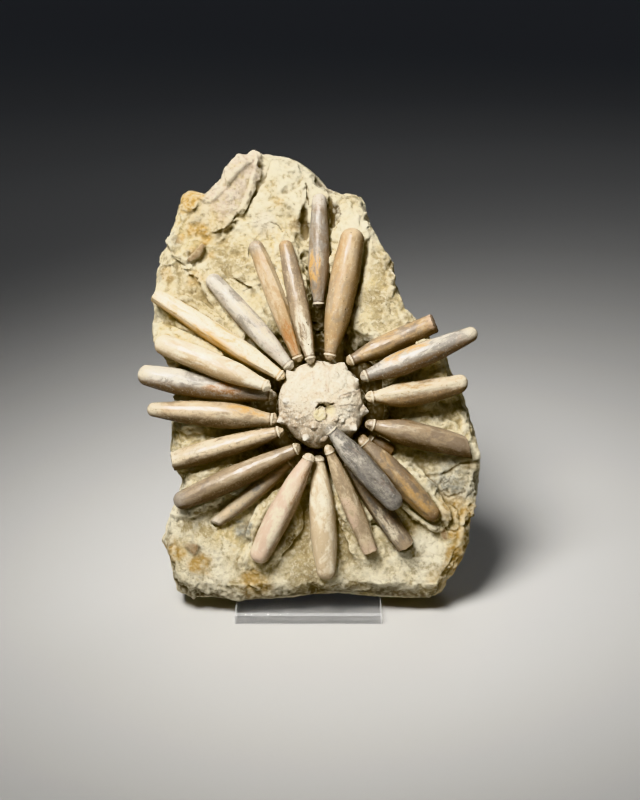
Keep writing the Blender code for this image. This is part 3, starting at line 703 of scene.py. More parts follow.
def make_shell(look):
    polar, turn, rays, reach = shell_skin(look)
    shape = reach.shape
    points = (np.array(SHELL_MIDDLE) + rays * reach[..., None]).reshape(-1, 3)
    places = to_face(points)
    flat = places[:, :2]
    polar, turn = polar.ravel(), turn.ravel()

    rough = fractal(places, 3.2, 4, 1.0)
    rise = 0.22 * rough + 0.05 * fractal(places, 0.8, 3, 2.0)
    granules = smoothstep(cells(places, 0.85, 3.0)[:, 0], 0.50, 0.12)
    grown = smoothstep(fractal(places, 5.0, 2, 5.0) - 0.09 * (flat @ (0.5, 1.0)), -0.6, 0.3)
    rise += granules * mix(0.04, 0.13, grown)
    rise += 0.02 * np.sin(44 * turn + 3 * rough) * smoothstep(polar, 0.3, 0.6)
    ball = np.zeros(len(places))
    for u, v, radius, height, tip in SHELL_KNOBS:
        away = np.linalg.norm(places - np.array([u, v, nearest_height(places, u, v)]), axis=1)
        boss = np.clip(1 - (away / radius) ** 2, 0, 1) ** 1.2
        rise += height * boss - 0.12 * fold(away - radius, 0.5)
        if tip:
            rise += 0.8 * tip * np.sqrt(np.clip(1 - (away / tip) ** 2, 0, 1))
            ball = np.maximum(ball, smoothstep(away, tip * 1.5, tip * 0.5) * min(1.0, tip + 0.2))

    bent = flat + 0.3 * np.stack([rough, fractal(places, 3.2, 3, 6.0)], axis=1)
    seam = np.max([smoothstep(distance_to_path(bent, path), 0.55, 0.05) for path in SHELL_SEAMS], axis=0)
    seam *= smoothstep(places[:, 2], 1.0, 5.0) * smoothstep(rough, -0.6, 0.2)
    rise += 0.10 * np.cos(15 * turn + 1.5 * rough) * smoothstep(polar, 0.35, 0.8) - 0.18 * seam
    offset = zone_angle(turn) * SHELL_RADIUS * np.sin(polar) + 0.25 * np.sin(polar * 22)
    zone = smoothstep(polar, 0.75, 1.00)
    pores = smoothstep(np.abs(offset - 0.8), 0.24, 0.05) * zone * smoothstep(np.cos(polar * 135.0), 0.1, 0.7)
    rise -= 0.10 * smoothstep(offset, 1.3, 0.9) * zone + 0.12 * pores

    filled, filling, pit = fill_mouth(places, flat)
    points = points + rays.reshape(-1, 3) * ((rise + filled) * MM)[:, None]
    mesh = grid_mesh("shell", list(points.reshape(*shape, 3)))
    extra = len(mesh.vertices) - len(points)
    final, normals = get_points(mesh), get_points(mesh, "normal")
    below = np.sum((Neighbours(mesh).smoothed(final, 8) - final) * normals, axis=1) / (0.10 * MM)
    # Painted shade goes in the hollows, and a painted highlight on the raised places.
    set_mark(mesh, "hollow", below)
    set_mark(mesh, "worn_and_highlit", -below)
    marks = {"ball": ball, "filling": filling, "pit": pit, "seam": np.maximum(seam, pores)}
    for name, values in marks.items():
        set_mark(mesh, name, np.append(values, np.zeros(extra)))
    new_piece("shell_test", mesh, ["shell"])
    dress(mesh, shell_finish(look))


def nearest_height(places, u, v):
    """Height of the surface at (u, v)."""
    away = distance_to_spot(places, u, v)
    close = away < 0.6
    return places[close, 2].max() if close.any() else places[away.argmin(), 2]


def fill_mouth(places, flat):
    """The opening at the top: yellowish rock in lumps fills it, but for dark gaps along its upper side.

    Gives the height of the filling, and how far each place is on it and in a gap.
    """
    ragged = flat + 0.25 * wander(places, 1.6, 3, 11.0, 12.0)
    top = smoothstep(places[:, 2], 9.0, 11.0)

    def blob(u, v, across, up, soft=0.3):
        away = np.hypot((ragged[:, 0] - u) / across, (ragged[:, 1] - v) / up)
        return smoothstep(away, 1 + soft, 1 - soft) * top

    egg = np.hypot((ragged[:, 0] + 0.35) / 2.2, (ragged[:, 1] + 3.2) / 2.0)
    hollow = blob(3.2, -1.8, 1.5, 1.9, 0.35)
    cover = np.maximum(smoothstep(egg, 1.2, 0.8) * top, hollow)
    arch = smoothstep(distance_to_path(ragged, MOUTH_ARCH), 0.5, 0.2)
    slots = np.maximum(arch * top, 0.85 * blob(3.9, 0.3, 0.7, 0.3, 0.4))
    crack = smoothstep(distance_to_path(ragged, MOUTH_CRACK), 0.3, 0.05) * top
    rise = 1.3 * np.sqrt(np.clip(1 - egg**2, 0, 1)) * top - 0.8 * hollow
    rise += 0.6 * blob(4.9, -4.4, 1.3, 0.9, 0.6) + 0.45 * blob(0.0, 1.2, 1.9, 0.5, 0.5)
    rise += 0.07 * cover * fractal(places, 1.0, 4, 13.0)
    return rise - 1.5 * slots - 0.4 * crack, cover, np.maximum(slots, 0.6 * crack)


def shell_finish(look):
    """Cream stone, greyer and browner towards its foot, partly as painted shade; darker in its seams, with
    painted shade in its hollows and gaps; its knobs whitened, and painted highlights on its raised places.
    """
    stone = Finish("fossil shell", look.pale, Specular_IOR_Level=0.35)
    place = stone.place()
    broad = stone.noise(place, 0.009, 7, 0.66, 0.5, 2.0)
    fine = stone.noise(place, 0.0022, 7, 0.74, 0.4, 2.6)
    grain = stone.noise(place, 0.0009, 5, 0.74, 0.0, 3.1)
    stone.tint(look.warm, stone.mask(broad, 0.46, 0.56) * 0.8)
    stone.tint(look.bleached_and_highlight, stone.mask(fine, 0.53, 0.62) * 0.6)
    # Greyer and browner towards the lower left: partly the shell's own colour, partly painted shade on the
    # side turned from the light.
    low = stone.vectors("DOT_PRODUCT", place, (0.45, 0.0, 1.0), "Value")
    low = stone.mask(low + (broad - 0.5) * 0.016, 0.003, -0.012)
    stone.tint(look.grey, low * 0.85)
    stone.tint(look.rosy, stone.near(place, (0.0105, -0.006, 0.0015), 0.0065, broad) * 0.6)
    stone.tint(look.shade, stone.mask(fine, 0.46, 0.36) * 0.35)
    # Painted shade in the hollows and a painted highlight on the raised places.
    stone.tint(look.shade, stone.mark("hollow") * 0.6)
    stone.tint(look.bleached_and_highlight, stone.mark("worn_and_highlit") * 0.40)
    stone.tint(look.bleached_and_highlight, stone.mark("ball") * 0.85)
    stone.tint(look.shade, stone.mark("seam") * 0.5)
    stone.tint(look.filling, stone.mark("filling") * stone.mask(fine, 0.36, 0.50) * 0.85)
    # Painted shade in the gaps at the opening and in the crack below it.
    stone.tint(EARTH_AND_SHADE, stone.mark("pit") * 0.95)
    stone.tint(look.shade, stone.mask(grain, 0.46, 0.37) * 0.5)
    stone.tint(look.bleached_and_highlight, stone.mask(grain, 0.55, 0.64) * 0.6)
    stone.feed("Base Color", stone.colour)
    stone.feed("Roughness", 0.62 + 0.2 * fine)
    stone.emboss(fine * 0.4 + grain * 0.8, 0.0007)
    return stone.material


# --------------------------------------------------------------------------------------------- spines

# How each spine looks: its main colour, the one it is clouded with and the one of its lower side (painted
# shade there, towards the rock and in the groove behind its collar, which also mottles its base and fibres),
# how much it is clouded, a stain with its place along the spine and round it in degrees, the colour of its
# tip, how speckled and how glossy it is, what its shaft has along it (a ridge or a facet) and where, and the
# slant of a broken end, in degrees.
Look = namedtuple(
    "Look",
    "light dark low cloud stain stain_at stain_turn tip speck gloss along along_turn slant",
    defaults=(None, 0, 0),
)

SPINE_LOOKS = {
    "spine_top_loose": Look(ASH, TAUPE, UMBER, 0.5, OCHRE, 0.30, -30, PEARL, 0.3, 0.3),
    "spine_top_stout": Look(TAN, FAWN, BROWN, 0.4, BEIGE, 0.75, 20, BEIGE, 0.9, 0.3),
    "spine_right_1": Look(TAN, TAUPE, UMBER, 0.5, SAND, 0.45, 60, PINK, 0.4, 0.4, slant=18),
    "spine_right_2": Look(PEARL, ASH, BROWN, 0.7, OCHRE, 0.42, -50, CREAM, 0.7, 0.6),
    "spine_right_3": Look(CREAM, TAN, BROWN, 0.3, BROWN, 0.50, -70, CREAM, 0.3, 0.5, "ridge", -20),
    "spine_right_4": Look(FAWN, TAUPE, UMBER, 0.5, BROWN, 0.30, -80, TAUPE, 0.2, 0.5, slant=30),
    "spine_right_5": Look(TAN, TAUPE, BROWN, 0.55, HONEY, 0.74, 10, BROWN, 0.4, 0.6, "ridge", 20),
    # Its pale stain near the base is a painted highlight.
    "spine_over_shell": Look(ASH, SLATE, SLATE, 0.5, PEARL, 0.20, 30, ASH, 0.8, 1.0),
    "spine_under": Look(TAUPE, SLATE, UMBER, 0.4, CREAM, 0.72, 30, FAWN, 0.4, 0.5, "ridge", 40, 12),
    "spine_low_1": Look(BEIGE, FAWN, BROWN, 0.4, PINK, 0.65, 30, PINK, 0.3, 0.4, slant=6),
    "spine_low_2": Look(CREAM, BEIGE, TAUPE, 0.7, IVORY, 0.30, 20, FAWN, 0.3, 0.4),
    "spine_low_3": Look(CREAM, PINK, FAWN, 0.65, RUST, 0.28, -45, PINK, 0.4, 0.5, "facet", -70),
    "spine_low_4": Look(BEIGE, ASH, TAUPE, 0.3, TAUPE, 0.30, -60, PEARL, 0.3, 0.8, slant=35),
    "spine_left_1": Look(FAWN, TAUPE, UMBER, 0.3, TAN, 0.20, -60, ASH, 0.3, 0.7),
    "spine_left_2": Look(BEIGE, TAUPE, UMBER, 0.3, CREAM, 0.70, 20, CREAM, 0.4, 0.6, slant=8),
    "spine_left_3": Look(BEIGE, FAWN, UMBER, 0.4, OCHRE, 0.25, 50, CREAM, 0.5, 0.6),
    "spine_left_4": Look(PEARL, ASH, BROWN, 0.4, RUST, 0.36, 0, CREAM, 0.6, 0.5),
    "spine_left_5": Look(IVORY, BEIGE, TAN, 0.4, TAN, 0.60, -40, CREAM, 0.3, 0.7),
    "spine_left_6": Look(IVORY, SAND, OCHRE, 0.3, OCHRE, 0.55, -50, CREAM, 0.2, 0.5, "ridge", -25, 10),
    "spine_left_7": Look(PEARL, ASH, TAUPE, 0.4, CREAM, 0.5, 30, PEARL, 0.3, 0.8),
    "spine_top_1": Look(BEIGE, TAN, BROWN, 0.5, RUST, 0.22, 0, ASH, 0.5, 0.8, "ridge", 30),
    "spine_top_2": Look(FAWN, TAUPE, UMBER, 0.5, IVORY, 0.22, 0, TAN, 0.9, 0.5),
    "spine_stub": Look(TAUPE, BROWN, UMBER, 0.4, TAUPE, 0.5, 0, BROWN, 0.3, 0.3, slant=25),
}

# The collar of each spine, as shares of the third ring of its solid, and the ring on it
COLLAR_AT = 0.82
COLLAR_SIZE = 0.97
SOCKET_CONE = (0.62, 0.92)  # its size at the base and at the collar, as shares of the collar's
RING_WIDTH = 0.24 * MM
FEWEST_CORNERS = 8  # of a ring of the solid
COLLAR_RINGS, CAP_RINGS = 64, 36  # how many of the rings of points are on the collar and on the tip
STREAKS_ALONG = 0.36  # how far a stain is drawn out along the spine, as its length squeezed to this share

# A spine's own frame, its solid's rings as (distance along, radius), its bow and its length
Solid = namedtuple("Solid", "place stations bow length")


def read_spine(node, towards):
    """The spine's frame, with Z from its base to its tip and Y out of the face, and its solid's rings."""
    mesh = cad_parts[node].data
    points = get_points(mesh)
    middle = points.mean(0)
    axis = np.linalg.svd(points - middle, full_matrices=False)[2][0]
    if (towards - middle) @ axis > 0:
        axis = -axis
    axis = -np.array(min(mesh.polygons, key=lambda face: face.normal @ Vector(axis)).normal)
    along = (points - middle) @ axis
    origin = middle + axis * along.min()
    along = along - along.min()
    outward = np.array(FACE.to_3x3() @ Vector((0, -1, 0)))
    side = np.cross(outward, axis)
    side /= np.linalg.norm(side)
    up = np.cross(axis, side)
    stations, centres = [], []
    for level in np.unique(np.round(along / MM, 1)) * MM:
        ring = np.unique(np.round(points[np.abs(along - level) < 0.06 * MM], 7), axis=0)
        if len(ring) < FEWEST_CORNERS:
            continue
        centre = ring.mean(0)
        stations.append((level, np.linalg.norm(ring - centre, axis=1).mean()))
        centres.append(((centre - origin) @ side, (centre - origin) @ up))
    stations, centres = np.array(stations), np.array(centres)
    origin = origin + side * centres[0, 0] + up * centres[0, 1]
    bow = [np.polyfit(stations[:, 0], centres[:, k] - centres[0, k], 2) for k in (0, 1)]
    rows = np.column_stack([side, up, axis, origin]).tolist()
    return Solid(Matrix([*rows, (0, 0, 0, 1)]), stations, bow, stations[-1, 0])


def smooth_through(x, at, values):
    """A smooth curve through the values, which stays between neighbours where they rise or fall together."""
    slope = np.gradient(values, at)
    i = np.clip(np.searchsorted(at, x) - 1, 0, len(at) - 2)
    span = at[i + 1] - at[i]
    t = np.clip((x - at[i]) / span, 0, 1)
    rise = (2 * t**3 - 3 * t**2 + 1) * values[i] + (3 * t**2 - 2 * t**3) * values[i + 1]
    return rise + span * ((t**3 - 2 * t**2 + t) * slope[i] + (t**3 - t**2) * slope[i + 1])


def shaft_profile(solid, rings):
    """Distance along and radius of each ring, where collar and cap begin, and whether the tip is round."""
    at, radius = solid.stations.T
    round_end = radius[-1] < 0.5 * radius[-2]
    ring_at, ring = COLLAR_AT * at[2], COLLAR_SIZE * radius[2]
    start = at[4]
    cap_start = at[-3] if round_end else at[-2]
    shaft = slice(4, -2 if round_end else -1)
    collar = np.linspace(0, start + 0.6 * MM, COLLAR_RINGS)
    middle = np.linspace(start, cap_start, rings - COLLAR_RINGS - CAP_RINGS)
    cap = cap_start + (at[-1] - cap_start) * np.sin(np.linspace(0, math.pi / 2, CAP_RINGS))
    levels = np.unique(np.concatenate([collar, middle, cap]))
    size = smooth_through(levels, at[shaft], radius[shaft])
    cone = ring * mix(*SOCKET_CONE, smoothstep(levels, 0, ring_at * 0.95))
    cone *= 0.25 + 0.75 * np.sqrt(1 - (1 - np.clip(levels / (1.1 * MM), 0, 1)) ** 2)
    size = mix(cone, size, smoothstep(levels, ring_at, start))
    if round_end:
        share = np.clip((levels - cap_start) / (at[-1] - cap_start), 0, 1)
        size = size * np.sqrt(np.clip(1 - share**2.2, 0.0, 1))
    return levels, size, ring_at, cap_start, round_end


def around(reach, angle, level):
    """Points at that reach from the spine's axis."""
    return np.stack([reach * np.cos(angle), reach * np.sin(angle), level], axis=-1)


def spine_rings(solid, look, size, layer):
    """Rings of points over the spine in its own frame: collar, uneven shaft, and rounded or broken end."""
    levels, radius, ring_at, cap_start, round_end = shaft_profile(solid, size.rings)
    turn = np.linspace(0, 2 * math.pi, size.sides, endpoint=False)
    level, angle = np.meshgrid(levels, turn, indexing="ij")
    reach = np.repeat(radius[:, None], size.sides, axis=1)
    shaft = smoothstep(level, ring_at + 0.8 * MM, ring_at + 4 * MM)
    fade = shaft * smoothstep(level, solid.length, cap_start - 1 * MM) if round_end else shaft
    spots = around(reach, angle, level * 0.45).reshape(-1, 3) / MM

    def lumps(across, octaves, shift=0.0):
        return fractal(spots, across, octaves, layer + shift).reshape(level.shape)

    coarse = lumps(3.2, 3)
    stripes = np.sin(size.stripes * angle + 2.0 * np.sin(level / (9 * MM) + layer))
    growth = 1 + size.lumps * coarse * fade + 0.008 * lumps(0.8, 2, 0.5)
    growth += 0.010 * np.cos(2 * (angle - layer)) * shaft
    reach = reach * growth + size.stripe_depth * stripes * fade
    from_ring = level - ring_at + 0.13 * MM * np.cos(angle - layer)
    reach += fold(from_ring, RING_WIDTH) * MM * (0.10 + 0.03 * np.sin(26 * angle))
    reach -= 0.10 * MM * fold(from_ring - 0.55 * MM, RING_WIDTH)
    base = smoothstep(level, ring_at - 0.2 * MM, ring_at - 0.9 * MM)
    reach += base * MM * (0.55 * lumps(2.0, 3, 9) - 0.15)
    reach *= 1 + 0.05 * np.cos(5 * angle + layer) * base
    reach -= 0.10 * MM * smoothstep(lumps(2.4, 3, 7), 0.25, 0.45) * fade
    middle = math.radians(90 + look.along_turn)
    if look.along == "ridge":
        reach += 0.26 * MM * smoothstep(turn_from(angle, middle), 0.30, 0.03) * fade
        reach -= 0.16 * MM * smoothstep(turn_from(angle, middle + 0.5), 0.35, 0.1) * fade
    if look.along == "facet":
        reach *= 1 - 0.10 * smoothstep(turn_from(angle, middle), 0.75, 0.15) * fade
    if round_end:
        return bowed(list(around(reach, angle, level)), solid)
    cut = reach * math.tan(math.radians(look.slant)) * (np.cos(angle - layer) - 1)
    cut += 0.9 * MM * np.minimum(coarse, 0)
    level = level + cut * smoothstep(level, solid.length - 6 * MM, solid.length)
    rings = list(around(reach, angle, level))
    return bowed(rings + broken_end(rings[-1], layer), solid)


def broken_end(rim, layer):
    """Rings that close a broken tip with a rough, slightly rounded face."""
    rings = []
    for share in (0.93, 0.82, 0.66, 0.5, 0.32, 0.14):
        ring = rim.copy()
        ring[:, :2] *= share
        plane = mix(rim[:, 2].mean(), rim[:, 2], share)
        ring[:, 2] = plane + 0.25 * MM * fractal(ring / MM, 1.1, 3, layer + 3) + 0.35 * MM * (1 - share**2)
        rings.append(ring)
    return rings


def bowed(rings, solid):
    """The rings moved along the spine's gentle bow."""
    for ring in rings:
        for k in (0, 1):
            ring[:, k] += np.polyval(solid.bow[k], np.clip(ring[:, 2], 0, solid.length))
    return rings


def make_spines(size):
    low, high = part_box("shell")
    shell_middle = (np.array(low) + np.array(high)) / 2
    for number, (node, look) in enumerate(SPINE_LOOKS.items()):
        solid = read_spine(node, shell_middle)
        layer = 3.7 * (number + 1)
        mesh = grid_mesh(node, spine_rings(solid, look, size, layer))
        new_piece(node + "_shaft", mesh, [node], solid.place)
        dress(mesh, spine_finish(node, look, solid, layer * 0.37, size))


def spine_finish(node, look, solid, shift, size):
    """Satin fossil stone, clouded and streaked along the spine, with its own stain, tip and specks, and
    painted shade on its lower side, towards the rock and in the groove behind its collar.
    """
    blur = mix(0.36, 0.26, look.gloss)
    stone = Finish(node + " stone", look.light, Specular_IOR_Level=0.25, Coat_IOR=1.7, Coat_Roughness=blur)
    place = stone.place()
    along = stone.part(place, "Z")
    cloud = stone.noise(stone.squeezed(place, 0.55), 0.0058, 8, 0.68, 0.7, shift)
    streak = stone.noise(stone.squeezed(place, 0.35), 0.0022, 7, 0.72, 0.5, shift + 0.31)
    fibre = stone.noise(stone.squeezed(place, 0.12), 0.0007, 3, 0.6, 0.0, shift + 0.57)
    grain = stone.noise(place, 0.0010, 4, 0.72, 0.0, shift + 0.73)
    start = 0.60 - 0.28 * look.cloud
    stone.tint(look.dark, stone.mask(cloud, start, start + 0.10))
    warm = stone.noise(stone.squeezed(place, 0.40), 0.0068, 7, 0.68, 0.5, shift + 0.9)
    stone.tint(mixed(look.light, RUST, 0.4), stone.mask(warm, 0.54, 0.62) * 0.45)
    stone.tint(mixed(look.light, IVORY, 0.5), stone.mask(streak, 0.50, 0.68) * 0.6)
    x, y, z = spot_on(solid, look.stain_at, look.stain_turn)
    drawn_out = stone.squeezed(place, STREAKS_ALONG)
    stained = stone.near(drawn_out, (x, y, z * STREAKS_ALONG), 0.0034, cloud)
    stone.tint(look.stain, stained * stone.mask(streak, 0.40, 0.56) * 0.85)
    tip = stone.mask(along + (cloud - 0.5) * 0.010, solid.length - 0.006, solid.length - 0.002)
    stone.tint(look.tip, tip * 0.7)
    # Painted shade: the side away from the light turns to the low colour.
    lower = stone.vectors("DOT_PRODUCT", place, lower_side(solid), "Value")
    lower = stone.mask(lower + (streak - 0.5) * 0.9, 0.06, 0.60)
    stone.tint(look.low, lower * 0.88)
    stone.tint(look.dark, stone.mask(streak, 0.48, 0.34) * 0.7)
    # Painted shade over the part that faces the rock, below the top of the spine.
    radius = solid.stations[:, 1].max()
    edge = stone.mask(stone.part(place, "Y"), 0.45 * radius, -0.2 * radius)
    stone.tint(look.low, edge * 0.55)
    ring = COLLAR_AT * solid.stations[2, 0]
    base = stone.mask(along + (grain - 0.5) * 0.0008, ring + 0.0004, ring - 0.0002)
    stone.tint(mixed(CREAM, look.light, 0.6), base * 0.7)
    stone.tint(look.low, base * stone.mask(streak + grain, 0.96, 1.10) * 0.6)
    rim = stone.mask(abs(along - ring), 0.00034, 0.00012)
    stone.tint(mixed(IVORY, OCHRE, 0.15), rim * 0.85)
    # Painted shade: a dark line in the groove just behind the ring.
    neck = stone.mask(abs(along - (ring + 0.0006)), 0.0005, 0.0001)
    stone.tint(look.low, neck * stone.mask(streak, 0.36, 0.50) * 0.7)
    stone.tint(look.dark, stone.mask(grain, 0.46, 0.37) * 0.65)
    pale = mixed(look.light, IVORY, 0.45)
    stone.tint(pale, stone.mask(grain, 0.56, 0.66) * (0.10 + 0.4 * look.speck))
    stone.tint(look.low, stone.mask(fibre, 0.42, 0.30) * 0.2)
    specks = stone.mask(stone.cells(place, 0.0023, shift), 0.20, 0.10) * stone.mask(grain, 0.50, 0.58)
    stone.tint(EARTH_AND_SHADE, specks * look.speck)
    stone.feed("Base Color", stone.colour)
    stone.feed("Roughness", 0.55 + 0.2 * tip)
    polish = (1 - edge) * (1 - 0.9 * lower) * stone.mask(streak, 0.62, 0.42) * (1 - 0.5 * tip)
    stone.feed("Coat Weight", (polish * mix(0.45, 1.0, look.gloss)).clamped())
    stone.emboss(fibre * 0.25 + grain * 0.5 + streak * 0.4 - specks * 0.5, size.relief)
    return stone.material


def lower_side(solid):
    """The direction across the spine to its lower side, away from the light, over its radius, in its own
    frame; painted shade is laid that way.
    """
    down = FACE.to_3x3() @ Vector((0.35, 0, -1))
    x, _, _ = solid.place.to_3x3().transposed() @ down
    return (x / solid.stations[:, 1].max(), 0, 0)


def mixed(first, second, share):
    return tuple(mix(a, b, share) for a, b in zip(first, second))


def spot_on(solid, share, turn):
    """A point of the spine's surface, a share of the way along and turn degrees from what faces out."""
    at, radius = solid.stations.T
    along = share * solid.length
    reach = np.interp(along, at, radius)
    angle = math.radians(90 + turn)
    bow = [np.polyval(solid.bow[k], along) for k in (0, 1)]
    return (reach * math.cos(angle) + bow[0], reach * math.sin(angle) + bow[1], along)


# ---------------------------------------------------------------------------------------------- stand


def make_stand(look):
    """The two acrylic sheets, each with its edges rounded, polished finely and painted white as a highlight.
    """
    faces = acrylic("clear acrylic", look.tint, 0.10, 1.0)
    # The edges are painted white, a painted highlight along them.
    edges = acrylic("acrylic edge with painted highlight", look.glow, 0.80, 0.5)
    for node in ("stand_base", "stand_backrest"):
        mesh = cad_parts[node].data.copy()
        sheet = new_piece(node + "_sheet", mesh, [node], Matrix.Identity(4))
        dress(mesh, faces)
        mesh.materials.append(edges)
        weld = sheet.modifiers.new("one skin", "WELD")
        weld.merge_threshold = 0.00001
        round_off = sheet.modifiers.new("polished edges", "BEVEL")
        round_off.width = look.edge
        round_off.segments = 3
        round_off.limit_method = "ANGLE"
        round_off.angle_limit = math.radians(30)
        round_off.material = 1
        sheet.data = evaluated_mesh(sheet)
        sheet.modifiers.clear()
        sheet.data.shade_smooth()
        sheet.data.set_sharp_from_angle(angle=math.radians(40))


def acrylic(name, tint, cover, clarity):
    """Clear acrylic that covers what is behind it by that share, with faint scuffs in its gloss."""
    clear = Finish(name, Base_Color=tint, Transmission_Weight=clarity, IOR=1.49, Alpha=cover)
    place = clear.place()
    scuffs = clear.noise(clear.vectors("MULTIPLY", place, (1.0, 0.15, 1.0)), 0.003, 4, 0.7)
    clear.feed("Roughness", 0.015 + 0.05 * clear.mask(scuffs, 0.6, 0.75))
    return clear.material


# ---------------------------------------------------------------------------------------------- stage


def make_stage(stage):
    floor = bpy.data.meshes.new("floor")
    reach = stage.floor_reach
    corners = [(-reach, -reach, 0), (reach, -reach, 0), (reach, reach, 0), (-reach, reach, 0)]
    floor.from_pydata(corners, [], [(0, 1, 2, 3)])
    ground = new_object("floor", floor)
    paint = Finish("floor paint", Base_Color=stage.floor, Roughness=0.6)
    floor.materials.append(paint.material)

    world = bpy.data.worlds.new("studio")
    world.use_nodes = True
    sky = world.node_tree.nodes["Background"]
    sky.inputs["Color"].default_value = (*stage.air, 1)
    sky.inputs["Strength"].default_value = stage.air_light
    bpy.context.scene.world = world
    target = FACE @ (Vector((0, -5, 20)) * MM)
    high = FACE @ (Vector((-4, -5, 36)) * MM)
    add_light("key", high, (-0.16, -0.27, 0.43), 0.25, stage.key, (1.0, 0.98, 0.95), 50)
    add_light("fill", target, (0.75, -0.75, 0.35), 0.6, stage.fill, (0.93, 0.96, 1.0))
    add_light("back", target, (0.25, 0.6, 0.75), 0.4, stage.back, (1.0, 1.0, 1.0))
    bpy.context.scene.view_settings.view_transform = "Khronos PBR Neutral"
    add_camera()


def add_light(name, target, offset, size, power, colour, spread=180):
    lamp = bpy.data.lights.new(name, "AREA")
    lamp.shape = "DISK"
    lamp.size = size
    lamp.energy = power
    lamp.color = colour
    lamp.spread = math.radians(spread)
    light = new_object(name, lamp)
    light.location = target + Vector(offset)
    light.rotation_euler = (-Vector(offset)).to_track_quat("-Z", "Y").to_euler()


CAMERA_TARGET = (-0.34, 1.7, 8.0)  # what it looks at on the face
CAMERA_AWAY = 0.5
CAMERA_ANGLE = math.radians(30.4)  # upright field of view
SENSOR = 36.0


def add_camera():
    """The camera looks straight at the slab's face."""
    u, v, w = CAMERA_TARGET
    lens = bpy.data.cameras.new("camera")
    lens.sensor_fit = "VERTICAL"
    lens.sensor_height = SENSOR
    lens.lens = SENSOR / 2 / math.tan(CAMERA_ANGLE / 2)
    camera = new_object("camera", lens)
    stand_point = Matrix.Translation(Vector((u, -w, v)) * MM + Vector((0, -CAMERA_AWAY, 0)))
    camera.matrix_world = FACE @ stand_point @ Matrix.Rotation(math.pi / 2, 4, "X")
    bpy.context.scene.camera = camera


# --------------------------------------------------------------------------------- properties and panel


def colour_property(name, default, description):
    values = {"size": 3, "min": 0, "max": 1, "subtype": "COLOR"}
    return FloatVectorProperty(name=name, description=description, default=default, **values)


def count_property(name, default, description):
    return IntProperty(name=name, description=description, default=default, min=0)


def length_property(name, default, description):
    return FloatProperty(name=name, description=description, default=default, unit="LENGTH", precision=6)


def share_property(name, default, description):
    return FloatProperty(name=name, description=description, default=default, subtype="FACTOR")


def power_property(name, default, description):
    return FloatProperty(name=name, description=description, default=default, unit="POWER")


class RockLook(bpy.types.PropertyGroup):
    grid: length_property("Grid", 0.0005, "Spacing of the rock's surface points")
    triangles: count_property("Triangles", 190000, "How many triangles the rock keeps")
    plain_detail: share_property("Plain detail", 0.35, "Share of detail kept on the back and sides")
    smoothing: count_property("Smoothing", 12, "Passes that take the solid's facets away")
    softening: count_property("Softening", 14, "Passes that soften the face inside its edges")
    roughness: share_property("Roughness", 1.0, "Strength of the chips and grain")
    sunny: colour_property("Light stone", (0.80, 0.695, 0.45), "Main colour of the rock")
    yellow: colour_property("Yellow stone", (0.68, 0.54, 0.26), "Colour of its yellowish patches")
    shady: colour_property("Dark stone", (0.42, 0.33, 0.17), "Colour of its darker patches")
    # Also painted highlight on raised places and painted light along the foot of the rim.
    bleached_and_highlight: colour_property("Bleached stone", (0.90, 0.83, 0.63), "Colour of fresh chips and worn edges")
    # Also painted shade in the hollows.
    olive_grime_and_shade: colour_property("Olive", OLIVE, "Colour of the grime in the grain")
    # Painted shade, near black: in the creases, the hollows and the low ground round the shell.
    painted_shade: colour_property("Earth", EARTH_AND_SHADE, "Colour of what lies in the hollows")
    speck: colour_property("Specks", (0.05, 0.04, 0.025), "Colour of the small dark specks")
    rust: colour_property("Rust", (0.52, 0.32, 0.085), "Colour of the iron stains")
    pink: colour_property("Pink", (0.60, 0.50, 0.395), "Colour of the pinkish ridge")
    slate: colour_property("Slate", (0.20, 0.22, 0.22), "Colour of the blue-grey patches")
    scrap: colour_property("Scraps", (0.36, 0.25, 0.14), "Colour of the scraps of old shell in it")


class ShellLook(bpy.types.PropertyGroup):
    rings: count_property("Rings", 170, "Rings of points from the top to the underside")
    sides: count_property("Sides", 340, "Points in each ring")
    smoothing: count_property("Smoothing", 12, "Passes that take the solid's facets away")
    pale: colour_property("Pale", (0.77, 0.705, 0.555), "Main colour of the shell")
    warm: colour_property("Warm", (0.63, 0.53, 0.385), "Colour of its warmer patches")
    # Partly painted shade on the lower left.
    grey: colour_property("Grey", (0.38, 0.30, 0.205), "Colour towards its foot")
    rosy: colour_property("Rosy", (0.62, 0.47, 0.31), "Colour of its right side")
    # Also painted highlight on raised places.
    bleached_and_highlight: colour_property("Bleached", (0.88, 0.84, 0.73), "Colour of the worn knobs")
    shade: colour_property("Creases", (0.24, 0.16, 0.10), "Colour in the creases")
    filling: colour_property("Filling", (0.80, 0.70, 0.43), "Colour of the rock in the opening")


class SpineLook(bpy.types.PropertyGroup):
    rings: count_property("Rings", 150, "Rings of points along a spine")
    sides: count_property("Sides", 72, "Points in each ring")
    lumps: share_property("Lumps", 0.035, "Unevenness of the shaft")
    stripes: count_property("Stripes", 22, "Fine ribs round the shaft")
    stripe_depth: length_property("Stripe depth", 0.000018, "Height of the fine ribs")
    relief: length_property("Relief", 0.00010, "Depth of the grain")


class StandLook(bpy.types.PropertyGroup):
    edge: length_property("Edge", 0.00045, "Rounding of the edges")
    tint: colour_property("Tint", (0.97, 0.985, 0.985), "Colour of the acrylic")
    # The painted highlight along the edges.
    glow: colour_property("Edge glow", (1.0, 1.0, 1.0), "Colour of its edges")


class StageLook(bpy.types.PropertyGroup):
    floor: colour_property("Floor", (0.50, 0.495, 0.48), "Colour of the floor")
    floor_reach: length_property("Floor reach", 8.0, "Half the floor's width")
    air: colour_property("Air", (0.9, 0.93, 1.0), "Colour of the light from all round")
    air_light: share_property("Air light", 0.08, "Strength of the light from all round")
    key: power_property("Key", 0.69, "Power of the main light")
    fill: power_property("Fill", 0.4, "Power of the light on the other side")
    back: power_property("Back", 1.0, "Power of the light from behind")


